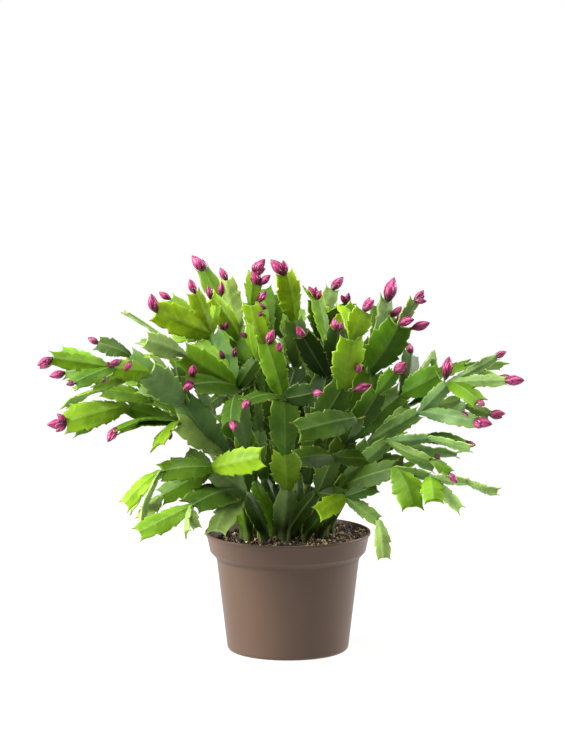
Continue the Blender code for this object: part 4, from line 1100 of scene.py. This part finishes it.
# filler pads: the rest of the plant's pads, inside it and behind, which the solids leave out; lengths in mm,
# angles in degrees, and the crown's centre, reach and limits in metres
filler = {
    "rounds": 2,
    "each": 2,
    "tries": 14,
    "clear": 3.4,
    "length": (24, 38),
    "width": (13, 18),
    "largeFrom": 15,
    "swing": 58,
    "lift": 34,
    "roll": 40,
    "outward": 0.30,
    "upward": 0.18,
    "crownCentre": (-0.004, 0.020, 0.160),
    "crownReach": (0.138, 0.135, 0.105),
    "front": -0.032,
    "floorRoom": 0.100,
    "hidden": 4,       # how many pixels past the plant's outline a filler pad may show
    "young": 0.86,     # share of the crown from which the pads take the brighter tones: painted light outside, painted shade inside
    "outerTones": "bbm",
    "innerTones": "ddmt",
    "seed": 31,
}


def padSamples(pad):
    # places spread over a pad's middle surface
    share = np.linspace(0.05, 1.0, 8)[:, None]
    across = np.linspace(-0.85, 0.85, 5)[None, :] * pad.half
    return pad.place(share, across, 0)


def crownShare(places):
    # 1 on the crown's outline, less inside it
    away = (places - np.array(filler["crownCentre"])) / np.array(filler["crownReach"])
    return np.sqrt((away ** 2).sum(axis=-1))


def toPixels(places):
    # where places show in the photo, and how near they are to the viewer in metres
    away = places - np.array(sightTarget + sightToward * view["distance"])
    deep = -(away @ np.array(sightToward))
    scale = view["distance"] / deep / view["pixel"]
    across = view["centre"][0] + away[..., 0] * scale
    down = view["centre"][1] - (away @ np.array(sightUp)) * scale
    return np.stack([across, down], axis=-1), -deep


def shownCells(pads):
    # a map of the picture that is true within some pixels of any of these pads
    spots = np.concatenate([toPixels(padSamples(pad))[0].reshape(-1, 2) for pad in pads]).astype(int)
    cells = np.zeros((view["tall"], view["tall"]), bool)
    reach = filler["hidden"]
    for right in range(-reach, reach + 1):
        for down in range(-reach, reach + 1):
            cells[spots[:, 1] + down, spots[:, 0] + right] = True
    return cells


def fillerFrom(pad, taken, shown, chance):
    # the roomiest of some random pads that could grow from this pad's end, or none
    best, bestGap = None, filler["clear"] * millimetre
    for _attempt in range(filler["tries"]):
        along = turned(pad.along, pad.normal, chance.uniform(-1, 1) * filler["swing"])
        along = turned(along, pad.side, chance.uniform(-1, 1) * filler["lift"])
        out = Vector((pad.end.x, pad.end.y, 0)).normalized()
        along = (along + out * filler["outward"] + Vector((0, 0, filler["upward"]))).normalized()
        end = pad.end + along * (chance.uniform(*filler["length"]) * millimetre)
        facing = turned(pad.normal, along, chance.uniform(-1, 1) * filler["roll"])
        width = chance.uniform(*filler["width"]) * millimetre
        kind = "large" if width > filler["largeFrom"] * millimetre else "small"
        arch = layout["arch"] * chance.uniform(*layout["archSpread"])
        new = Pad(startOf(pad, pad.end), pad.end, end, facing, width, kind, arch)
        places = padSamples(new)
        low = places[..., 2].min() < filler["floorRoom"]
        if low or end.y < filler["front"] or crownShare(np.array(end)) > 1:
            continue
        pixels = toPixels(places)[0].reshape(-1, 2).astype(int)
        if not shown[pixels[:, 1], pixels[:, 0]].all():
            continue
        gap = np.linalg.norm(places[2:].reshape(-1, 1, 3) - taken[None], axis=-1).min()
        if gap > bestGap:
            best, bestGap = new, gap
    return best


def growFillers():
    # some rounds of new pads from every pad's end that bears no bud, each from the last round's
    chance = random.Random(filler["seed"])
    known = {name: [*grown[name].values(), *moreGrown[name]] for name in grown}
    taken = np.concatenate([padSamples(pad).reshape(-1, 3) for pads in known.values() for pad in pads])
    shown = shownCells([pad for name in stems for pad in known[name]])
    more = {name: [] for name in grown}
    for name, pads in grown.items():
        parents = [pad for label, pad in pads.items() if (name, label) not in budded]
        for _round in range(filler["rounds"]):
            fresh = []
            for parent in [pad for pad in parents for _number in range(filler["each"])]:
                new = fillerFrom(parent, taken, shown, chance)
                if new is not None:
                    # brighter tones outside the crown and darker ones inside it: painted light and shade
                    outer = crownShare(np.array(new.end)) > filler["young"]
                    new.tone = chance.choice(filler["outerTones" if outer else "innerTones"])
                    taken = np.concatenate([taken, padSamples(new).reshape(-1, 3)])
                    fresh.append(new)
            more[name] += fresh
            parents = fresh
    return more


budded = {(stem, label) for stem, label, _rows in budClusters}
fillers = growFillers()
print("filler pads:", sum(map(len, fillers.values())))
for name, pads in fillers.items():
    pads += moreGrown[name]
    if pads:
        fit(padsPiece("more_pads_" + name, pads, filler["seed"] + len(name)))
print("more pads made")


# buds: slender bodies under overlapping scales; shares of the bud's length or of its widest radius
bud = {
    "slenderness": 0.21,     # radius of the solid's bud
    "baseWidth": 0.48,
    "fullness": 0.24,        # radius of the finer bud
    "maxLean": 60,
    "cornerLean": 0.6,
    "leastAlong": 0.25,
    "gap": 0.3,              # in mm, between the solid's bud and its pad
    "endShare": 0.95,        # where a bud stands along its pad, and how far under that its root lies
    "rootBack": 0.03,
    "neckShare": 0.1,
    "drawnBack": 0.5,
    "bend": 0.05,
    "ages": (6, 14),         # length in mm of the youngest and of the oldest
    "ageSpread": 0.15,
    "sides": 14,
    "profile": ((-0.1, 0.26), (-0.04, 0.30), (0.02, 0.42), (0.06, 0.52), (0.14, 0.66), (0.28, 0.90),
                (0.44, 1.0), (0.60, 0.93), (0.76, 0.68), (0.88, 0.42), (0.96, 0.18), (0.995, 0.04)),
}
scales = {
    "count": 7,
    # where one starts along the bud, its length, and half its angle round the bud in radians: of the lowest,
    # and what is added up to the highest
    "tiers": ((0.03, 0.36), (0.42, 0.16), (0.85, -0.25)),
    "turn": 2.4,               # from each to the next, in radians
    "thick": 0.12,             # in mm
    "off": (1.03, 0.07, 0.02),   # how far off the body its root lies, what its tip adds and its edges lose
    "rows": 7,
}


def budLines(pad, buds, extra, corner):
    # root, base and aim of each bud: the pad's own line leant to the right and up
    right = Vector((1, 0, 0))
    aims = []
    clear = 0.0
    for length, leanRight, leanUp in buds:
        aim = pad.along.copy()
        aim += right * math.tan(math.radians(min(leanRight, bud["maxLean"])))
        aim += sightUp * math.tan(math.radians(max(min(leanUp, bud["maxLean"]), -bud["maxLean"])))
        aim += extra + pad.side * (bud["cornerLean"] * corner)
        aim.normalize()
        if aim.dot(pad.along) < bud["leastAlong"]:
            aim = (aim + pad.along * bud["cornerLean"]).normalized()
        aims.append(aim)
        baseRadius = length * millimetre * bud["slenderness"] * bud["baseWidth"]
        clear = max(clear, baseRadius * math.sin(aim.angle(pad.along)))
    root = Vector(pad.place(bud["endShare"] - bud["rootBack"], 0, 0))
    base = Vector(pad.place(bud["endShare"], 0, 0)) + pad.along * (bud["gap"] * millimetre + clear)
    if corner:
        share, wide = solidOutlines[pad.kind][-2][:2]
        root = Vector(pad.place(share - bud["rootBack"] * 2, corner * wide * 0.9 * pad.half, 0))
        base = Vector(pad.place(share, corner * wide * pad.half, 0))
        base += aims[0] * (bud["gap"] * millimetre + clear * 0.5)
    return [(root, base, aim, row[0] * millimetre) for aim, row in zip(aims, buds)]


def settledBuds(solid, pad, buds, corner):
    # of the leans that the solid's cluster may have taken, the one whose tips lie on the solid
    away = [Vector((0, 0, 0))]
    for step in (0.6, 1.2):
        away += [pad.normal * step, pad.normal * -step, pad.side * step, pad.side * -step]
    found = []
    for extra in away:
        lines = budLines(pad, buds, extra, corner)
        tips = np.array([base + aim * length for _root, base, aim, length in lines])
        found.append((distanceTo(solid, tips), len(found), lines))
    return min(found)[2]


def seated(root, base, aim, length):
    # the same tip, with the base drawn back to its root on the pad
    tip = base + aim * length
    base = base + (root - base) * bud["drawnBack"]
    return root, base, (tip - base).normalized(), (tip - base).length


def addBud(piece, root, base, aim, length, chance):
    # a bent spindle along its aim, drawn out under its base to its root on the pad, and scales round it
    side = aim.orthogonal().normalized()
    side = Quaternion(aim, chance.uniform(0, 6.28)) @ side
    axes = [np.array(axis) for axis in (side, aim.cross(side), aim)]
    share, wide = np.array(bud["profile"]).T
    radius = length * bud["fullness"]
    bend = chance.uniform(-bud["bend"], bud["bend"]) * length
    young, old = bud["ages"]
    age = (length / millimetre - young) / (old - young) + chance.uniform(-bud["ageSpread"], bud["ageSpread"])
    age = float(np.clip(age, 0.05, 1))

    def at(share, angle, reach):
        # a point on the bud: round its bent axis, this far out
        above = np.clip(share, 0, 1)
        under = np.clip(-share / bud["neckShare"], 0, 1)
        right = reach * np.cos(angle) + bend * np.sin(math.pi * above)
        along = above * length + 0 * angle
        return (np.array(base) + under[..., None] * np.array(root - base) + right[..., None] * axes[0]
                + (reach * np.sin(angle))[..., None] * axes[1] + along[..., None] * axes[2])

    def addBody(body, along, across):
        piece.add(*body, along=withPoles(along), across=withPoles(across), age=np.full(len(body[0]), age))

    angle = roundAngles(bud["sides"])
    rows = share[:, None] + 0 * angle
    skin = at(rows, angle + 0 * rows, radius * wide[:, None] + 0 * angle)
    tip = at(np.array(1.0), np.array(0.0), np.array(0.0))
    addBody(gridBody(skin, np.array(root), tip), np.clip(rows, 0, 1), 0 * rows)
    # a scale is a pointed shell on the body, lifting towards its tip
    u = np.linspace(0, 1, scales["rows"])[:, None]
    v = np.linspace(-1, 1, 5)[None, :]
    v = np.concatenate([v, v[:, -2:0:-1]], axis=1)
    face = np.concatenate([[0.4], np.ones(3), [0.4], -np.ones(3)])[None, :]
    rootOff, tipOff, edgeOff = scales["off"]
    for number in range(scales["count"]):
        tier = number / (scales["count"] - 1)
        first, reach, spread = (low + more * tier for low, more in scales["tiers"])
        last = first + reach
        spread = spread * np.sqrt(np.clip(1 - u ** 2.4, 0.02, 1)) * (0.55 + 0.9 * u * (1.25 - u))
        here = first + (last - first) * u + 0 * v
        out = np.interp(here, share, wide) * radius
        out = out * (rootOff + tipOff * u - edgeOff * np.abs(v))
        out = out + face * (scales["thick"] * millimetre) * (1.1 - u)
        points = at(here, scales["turn"] * number + spread * v, out)
        shell = gridBody(points, points[0].mean(axis=0), points[-1].mean(axis=0))
        addBody(shell, here, np.abs(v) * (0.4 + 0.6 * u))


for number, (stem, label, rows) in enumerate(budClusters):
    node = f"flower_buds_{stem}_{label}"
    chance = np.random.default_rng(100 + number)
    piece = Piece(f"buds_{stem}_{label}", budMaterial)
    for line in settledBuds(nodePoints(node), grown[stem][label], rows, budCorners.get((stem, label), 0)):
        addBud(piece, *seated(*line), chance)
    fit(piece.build(), node)
print("buds made")


# more buds: of the seen side, the pixel of the base, length in mm, the way the tip points in degrees
# clockwise from up, and how much it comes towards the viewer; of the far side, by rule
moreBuds = {
    "near": (
        (173, 299, 10, -60, 0.2), (194, 293, 7, -15, 0.3), (208, 295, 10, -5, 0.3), (220, 292, 11, 5, 0.2),
        (221, 329, 8, -45, 0.5), (222, 330, 8, 25, 0.7), (48, 366, 9, -120, 0.5), (60, 374, 10, -110, 0.2),
        (108, 368, 7, -30, 0.6), (125, 362, 10, -120, 0.7), (133, 364, 10, 200, 0.8), (108, 382, 8, 215, 0.4),
        (166, 435, 7, 180, 0.3), (261, 306, 9, -80, 0.3), (260, 305, 9, 15, 0.4), (258, 308, 7, 215, 0.7),
        (251, 337, 8, 110, 0.4), (248, 337, 7, -70, 0.4), (302, 338, 9, 0, 2.5), (359, 371, 10, 10, 2.5),
        (463, 412, 10, 140, 0.3), (438, 455, 7, 160, 0.3), (361, 308, 11, 48, 0.2), (492, 416, 10, 100, 0.2),
        (318, 293, 8, 30, 0.3), (66, 422, 9, 215, 0.5), (406, 371, 8, 60, 0.8), (489, 414, 12, 80, 0.2),
        (224, 361, 8, -20, 0.6), (233, 362, 8, 20, 0.6), (281, 352, 10, 0, 2.0), (288, 360, 9, 120, 2.0),
        (196, 377, 12, 20, 0.8), (350, 299, 9, 10, 0.3), (346, 300, 8, -40, 0.3),
        (52, 364, 12, -125, 0.3), (60, 375, 12, -105, 0.3), (266, 283, 12, -40, 0.3), (269, 281, 11, 60, 0.3),
        (262, 280, 9, -70, 0.4), (415, 300, 9, 105, 0.2), (397, 321, 13, 80, 0.5), (391, 319, 11, 55, 0.4),
    ),
    "nearer": 60,        # how many pixels off are worth a metre nearer to the viewer
    "follow": 0.25,      # how far a bud follows the line of its pad
    "farShare": 0.42,    # share of the far side's ends that bear a bud
    "farNumbers": (1, 1, 2),
    "farLength": (7, 13),
    "farLean": 0.7,
    "farUp": 0.4,
    "farPlace": (0.965, 0.12),   # along the pad, and how far to either side of its middle
    "seed": 77,
}


def areoles(pad):
    # the places that a bud can grow from: the notches behind the teeth and the middle of the end
    outline = fineOutlines[pad.kind]
    rows = [(0.97, 0.0)]
    for number, (share, wide, tooth) in enumerate(outline[1:-1], 1):
        if not tooth and pad.kind != "old":
            rows += [(share, wide), (share - layout["stagger"], -wide)]
    share, wide = np.array(rows).T
    return pad.place(share, wide * pad.half * 0.98, 0)


def nearBudLines():
    # each bud grows from the areole that is seen nearest to its pixel, of the pads in front
    pads = [pad for name in stems for pad in grown[name].values() if pad.kind != "old"]
    pads += [pad for name in stems for pad in fillers[name]]
    spots = [areoles(pad) for pad in pads]
    owner = np.repeat(np.arange(len(pads)), [len(spot) for spot in spots])
    places = np.concatenate(spots)
    pixels, nearness = toPixels(places)
    lines = []
    for across, down, length, way, toward in moreBuds["near"]:
        off = np.linalg.norm(pixels - (across, down), axis=-1)
        best = int(np.argmin(off - nearness * moreBuds["nearer"]))
        turn = math.radians(way)
        aim = Vector((math.sin(turn), 0, 0)) + sightUp * math.cos(turn) + sightToward * toward
        aim = (aim.normalized() + pads[owner[best]].along * moreBuds["follow"]).normalized()
        base = Vector(places[best])
        lines.append((base - aim * millimetre, base, aim, length * millimetre))
    return lines


def farBudLines():
    # one or two buds on some of the ends
    chance = random.Random(moreBuds["seed"])
    parents = {parent for _label, parent, *_rest in farPads}
    lines = []
    for name in farStems:
        free = [label for label in grown[name] if label not in parents and (name, label) not in budded]
        for pad in [grown[name][label] for label in free] + fillers[name]:
            if chance.random() > moreBuds["farShare"]:
                continue
            for _number in range(chance.choice(moreBuds["farNumbers"])):
                aim = pad.along + pad.side * chance.uniform(-moreBuds["farLean"], moreBuds["farLean"])
                aim += Vector((0, 0, chance.uniform(0, moreBuds["farUp"])))
                share, aside = moreBuds["farPlace"]
                base = Vector(pad.place(share, chance.uniform(-aside, aside) * pad.half, 0))
                length = chance.uniform(*moreBuds["farLength"]) * millimetre
                lines.append((base - pad.along * millimetre, base, aim.normalized(), length))
    return lines


for side, lines in (("near", nearBudLines()), ("far", farBudLines())):
    chance = np.random.default_rng(moreBuds["seed"] + len(side))
    piece = Piece("more_buds_" + side, budMaterial)
    for line in lines:
        addBud(piece, *line, chance)
    fit(piece.build())
    print("more buds,", side, "side:", len(lines))


# pot, in mm: radius and height of each corner of its turned outline, and how far the corner is rounded
pot = {
    "corners": (
        (42.2, 0, 0.3), (43.64, 0.72, 0.5), (44.6, 2.4, 0.6),
        (52.4, 68, 0.8), (53.0, 69.2, 0.5), (56.0, 72.5, 0.5), (57.2, 73.7, 0.5),
        (59.6, 85.2, 0.25), (60.7, 86.0, 0.3), (60.7, 88, 0.5), (58.7, 88, 0.4),
        (54.7, 73.1, 0.6), (51.1, 68, 0.6), (42.2, 1.3, 0.8),
    ),
    "curve": 5,                # points of each rounded corner
    "insideFrom": 10,          # the corner at which the inside starts
    "darkeningFrom": (87.2, 85.5),
    "crease": 0.25,            # how dark the painted shade in the crease under the collar is
    "creaseAt": 69.0,
    "creaseWide": 1.2,
    "sides": 160,
    "drains": 4,
    "drainRadius": 4,
    "drainRing": 28,
    "drainSides": 24,
    "drainDeep": 6,
    "sharpFrom": 40,           # in degrees
}


def roundedOutline(corners):
    # each corner becomes a short curve between the points that lie its rounding before and after it
    corners = np.array(corners, float)
    places, rounding = corners[:, :2], corners[:, 2:]
    before = np.roll(places, 1, axis=0) - places
    after = np.roll(places, -1, axis=0) - places
    before[0] = (-1, 0)
    after[-1] = (-1, 0)
    before *= rounding / np.linalg.norm(before, axis=1, keepdims=True)
    after *= rounding / np.linalg.norm(after, axis=1, keepdims=True)
    t = np.linspace(0, 1, pot["curve"])[None, :, None]
    curve = places[:, None] + before[:, None] * (1 - t) ** 2 + after[:, None] * t ** 2
    return curve.reshape(-1, 2)


def turnedBody(outline, sides):
    # each outline point's radius round the upright axis, at its height
    angle = roundAngles(sides)
    radius, height = outline[:, :1] * millimetre, outline[:, 1:] * millimetre
    points = np.stack([*onCircle(radius, angle), height + 0 * angle], axis=-1)
    return gridBody(points, (0, 0, height[0, 0]), (0, 0, height[-1, 0]))


def withDrains(thing):
    # cuts the drainage holes with upright rods, by one Boolean step
    cutter = Piece("drainCutter", potMaterial)
    places = np.stack(onCircle(1, roundAngles(pot["drains"], 0.5)), axis=-1) * pot["drainRing"] * millimetre
    rod = np.array([(pot["drainRadius"], -pot["drainDeep"]), (pot["drainRadius"], pot["drainDeep"])])
    for x, y in places:
        points, quads, triangles = turnedBody(rod, pot["drainSides"])
        cutter.add(points + np.array((x, y, 0)), quads, triangles, stained=np.zeros(len(points)))
    tool = cutter.build()
    step = thing.modifiers.new("drains", "BOOLEAN")
    step.operation = "DIFFERENCE"
    step.object = tool
    step.solver = "MANIFOLD"
    bpy.context.view_layer.update()
    mesh = bpy.data.meshes.new_from_object(thing.evaluated_get(bpy.context.evaluated_depsgraph_get()))
    thing.modifiers.clear()
    thing.data = mesh
    bpy.data.objects.remove(tool)
    mesh.polygons.foreach_set("use_smooth", np.ones(len(mesh.polygons), bool))
    mesh.set_sharp_from_angle(angle=math.radians(pot["sharpFrom"]))
    return thing


def buildPot():
    # the turned outline, nearly black on the inside below the rim, with painted shade in the crease under the
    # collar
    piece = Piece("turned_pot", potMaterial)
    outline = roundedOutline(pot["corners"])
    height = outline[:, 1:]
    inside = np.arange(len(outline))[:, None] >= pot["insideFrom"] * pot["curve"]
    belowRimDark = inside * smooth(-height, *(-level for level in pot["darkeningFrom"]))
    # painted shade: a dark line in the crease under the collar
    crease = ~inside * pot["crease"] * np.exp(-((height - pot["creaseAt"]) / pot["creaseWide"]) ** 2)
    piece.add(*turnedBody(outline, pot["sides"]), stained=withPoles((belowRimDark + crease) * np.ones(pot["sides"])))
    return withDrains(piece.build())


fit(buildPot(), "pot")
print("pot made")


# soil: a plug in the pot with a crumbly top, under loose grains
def crumbs(x, y, chance, length, count):
    # a mix of waves of about one length, in all directions
    way = chance.uniform(0, 2 * math.pi, count)
    pitch = 2 * math.pi / (length * millimetre * chance.uniform(0.6, 1.6, count))
    phase = chance.uniform(0, 2 * math.pi, count)
    wave = np.sin((x[..., None] * np.cos(way) + y[..., None] * np.sin(way)) * pitch + phase)
    return wave.sum(axis=-1) / math.sqrt(count)


def wallRadius(height):
    # the pot's inner wall at a height, both in metres, less the gap that the soil keeps
    inner = np.array(pot["corners"])[-1:-5:-1, :2] * millimetre
    return np.interp(height, inner[:, 1], inner[:, 0]) - soil["wallGap"] * millimetre


def soilTop(x, y):
    # the soil's form and its crumbs
    chance = np.random.default_rng(soil["seed"])
    rough = sum(share * crumbs(x, y, chance, length, soil["waves"]) for length, share in soil["crumbs"])
    return soilHeight(x, y) + soil["crumb"] * millimetre * rough


def buildSoil():
    # rings up the pot's wall, then inward over the top
    piece = Piece("peat_soil", soilMaterial)
    angle = roundAngles(soil["sides"])
    brink = soilHeight(*onCircle(soil["brink"] * millimetre, angle))
    levels = np.array(soil["wallLevels"])[:, None] * millimetre + 0 * angle
    inward = np.linspace(1, 0, soil["rings"] + 1)[:-1, None]
    radius = wallRadius(brink)[None] * inward
    height = soilTop(*onCircle(radius, angle))
    radius = np.concatenate([wallRadius(levels), radius])
    height = np.concatenate([levels, height])
    points = np.stack([*onCircle(radius, angle), height], axis=-1)
    middle = float(soilTop(np.zeros(1), np.zeros(1))[0])
    body = gridBody(points, (0, 0, levels[0, 0]), (0, 0, middle))
    count = len(body[0])
    piece.add(*body, grain=np.zeros((count, 4)), loose=np.zeros(count))
    addGrains(piece)
    return piece.build()


# loose grains: their colours from tan to black, the least share of tan and its growth to the right front, and
# the shares that brown alone and brown with dark add to it
grainKinds = {
    "colors": ((0.50, 0.36, 0.20, 1), (0.24, 0.15, 0.08, 1), (0.07, 0.042, 0.025, 1),
               (0.014, 0.009, 0.006, 1)),
    "tan": (0.16, 0.34),
    "tanRight": (-0.02, 0.04),   # in metres, where that growth starts and ends
    "tanFront": (-0.03, 0.02),
    "brown": 0.2,
    "brownAndDark": 0.42,
    "brightness": (0.7, 1.3),
}


def icosahedron():
    # twelve corners and twenty faces of a lump of radius 1
    golden = (1 + math.sqrt(5)) / 2
    a, b = 1 / math.hypot(1, golden), golden / math.hypot(1, golden)
    lump = np.array([(-a, b, 0), (a, b, 0), (-a, -b, 0), (a, -b, 0), (0, -a, b), (0, a, b), (0, -a, -b),
                     (0, a, -b), (b, 0, -a), (b, 0, a), (-b, 0, -a), (-b, 0, a)])
    faces = np.array([(0, 11, 5), (0, 5, 1), (0, 1, 7), (0, 7, 10), (0, 10, 11), (1, 5, 9), (5, 11, 4),
                      (11, 10, 2), (10, 7, 6), (7, 1, 8), (3, 9, 4), (3, 4, 2), (3, 2, 6), (3, 6, 8),
                      (3, 8, 9), (4, 9, 5), (2, 4, 11), (6, 2, 10), (8, 6, 7), (9, 8, 1)])
    return lump, faces


def turns(quaternions):
    # one 3 x 3 rotation for each unit quaternion
    w, i, j, k = quaternions.T
    return np.stack([
        np.stack([1 - 2 * (j * j + k * k), 2 * (i * j - k * w), 2 * (i * k + j * w)], axis=-1),
        np.stack([2 * (i * j + k * w), 1 - 2 * (i * i + k * k), 2 * (j * k - i * w)], axis=-1),
        np.stack([2 * (i * k - j * w), 2 * (j * k + i * w), 1 - 2 * (i * i + j * j)], axis=-1),
    ], axis=1)


def addGrains(piece):
    # loose grains: one twenty-sided lump, stretched, turned and coloured differently each time
    chance = np.random.default_rng(soil["seed"] + 1)
    lump, faces = icosahedron()
    count = soil["grains"]
    reach = soil["grainReach"] * millimetre * np.sqrt(chance.uniform(0, 1, count))
    x, y = onCircle(reach, chance.uniform(0, 2 * math.pi, count))
    least, more = soil["grainSize"]
    size = (least + more * chance.uniform(0, 1, count) ** soil["grainFew"]) * millimetre
    stretch = chance.uniform(*soil["grainStretch"], (count, 1, 3))
    stretch = stretch * chance.uniform(*soil["grainLumps"], (count, 12, 3))
    turn = chance.normal(size=(count, 4))
    turn /= np.linalg.norm(turn, axis=1, keepdims=True)
    local = np.einsum("nab,nvb->nva", turns(turn), lump[None] * stretch) * size[:, None, None]
    centre = np.stack([x, y, soilTop(x, y) + size * soil["grainSunk"]], axis=-1)
    points = (local + centre[:, None]).reshape(-1, 3)
    triangles = (faces[None] + 12 * np.arange(count)[:, None, None]).reshape(-1, 3)
    least, more = grainKinds["tan"]
    tan = least + more * smooth(x, *grainKinds["tanRight"]) * smooth(-y, *grainKinds["tanFront"])
    past = chance.uniform(0, 1, count) - tan
    kind = (past > 0).astype(int) + (past > grainKinds["brown"]) + (past > grainKinds["brownAndDark"])
    color = np.array(grainKinds["colors"])[kind] * chance.uniform(*grainKinds["brightness"], (count, 1))
    color[:, 3] = 1
    loose = np.ones(len(points))
    piece.add(points, np.zeros((0, 4), int), triangles, grain=np.repeat(color, 12, axis=0), loose=loose)


fit(buildSoil(), "soil")
print("soil made")


# studio: a white floor, soft boxes and an even pale surround
studio = {
    "floor": (0.14, 0.14, 0.14, 1),
    "floorGlow": 0.85,
    "floorRadius": 0.62,
    "floorSides": 48,
    "boxes": (
        # name, place, size in metres, watts, colour
        ("keyBox", (-2.1, -0.50, 1.15), 1.2, 150, (1.0, 0.985, 0.955)),
        ("rightBox", (1.95, 0.95, 0.95), 1.0, 76, (1.0, 0.995, 0.98)),
        ("topBox", (-0.1, -0.35, 2.3), 1.5, 68, (1.0, 0.995, 0.98)),
    ),
    "aim": (0, 0, 0.15),
    "white": (1, 1, 1, 1),
    "surround": 0.10,   # its light on the plant, while the camera sees it white
}


def addFloor():
    # a flat round fan
    look = Finish("studioFloor", Roughness=0.9, Base_Color=studio["floor"], Emission_Color=studio["white"],
                  Emission_Strength=studio["floorGlow"])
    disc = Piece("studio_floor", look.material)
    sides = studio["floorSides"]
    angle = roundAngles(sides)
    rim = np.stack([*onCircle(studio["floorRadius"], angle), 0 * angle], axis=-1)
    number = np.arange(sides)
    fan = np.stack([number, np.roll(number, -1), np.full(sides, sides)], axis=-1)
    disc.add(np.concatenate([rim, [(0, 0, 0)]]), np.zeros((0, 4), int), fan)
    disc.build()


def addBoxes():
    # square lights that face the plant
    for name, place, size, watts, color in studio["boxes"]:
        lamp = bpy.data.lights.new(name, "AREA")
        lamp.shape = "SQUARE"
        lamp.size = size
        lamp.energy = watts
        lamp.color = color
        box = bpy.data.objects.new(name, lamp)
        box.location = place
        box.rotation_euler = (Vector(place) - Vector(studio["aim"])).to_track_quat("Z", "Y").to_euler()
        bpy.context.scene.collection.objects.link(box)


def addSurround():
    # a weak pale light all round, which the camera itself sees as white
    world = bpy.data.worlds.new("paleSurround")
    world.use_nodes = True
    nodes = world.node_tree.nodes
    nodes.remove(nodes["Background"])
    look = Shading(world.node_tree)
    light, seen = (look.node("ShaderNodeBackground", inputs={"Color": studio["white"], "Strength": strength})
                   for strength in (studio["surround"], 1.0))
    toCamera = look.node("ShaderNodeLightPath", output="Is Camera Ray")
    both = look.node("ShaderNodeMixShader", inputs={0: toCamera, 1: light, 2: seen})
    look.plug(nodes["World Output"].inputs["Surface"], both)
    bpy.context.scene.world = world


addFloor()
addBoxes()
addSurround()
bpy.context.scene.view_settings.view_transform = "Standard"
print("studio made")
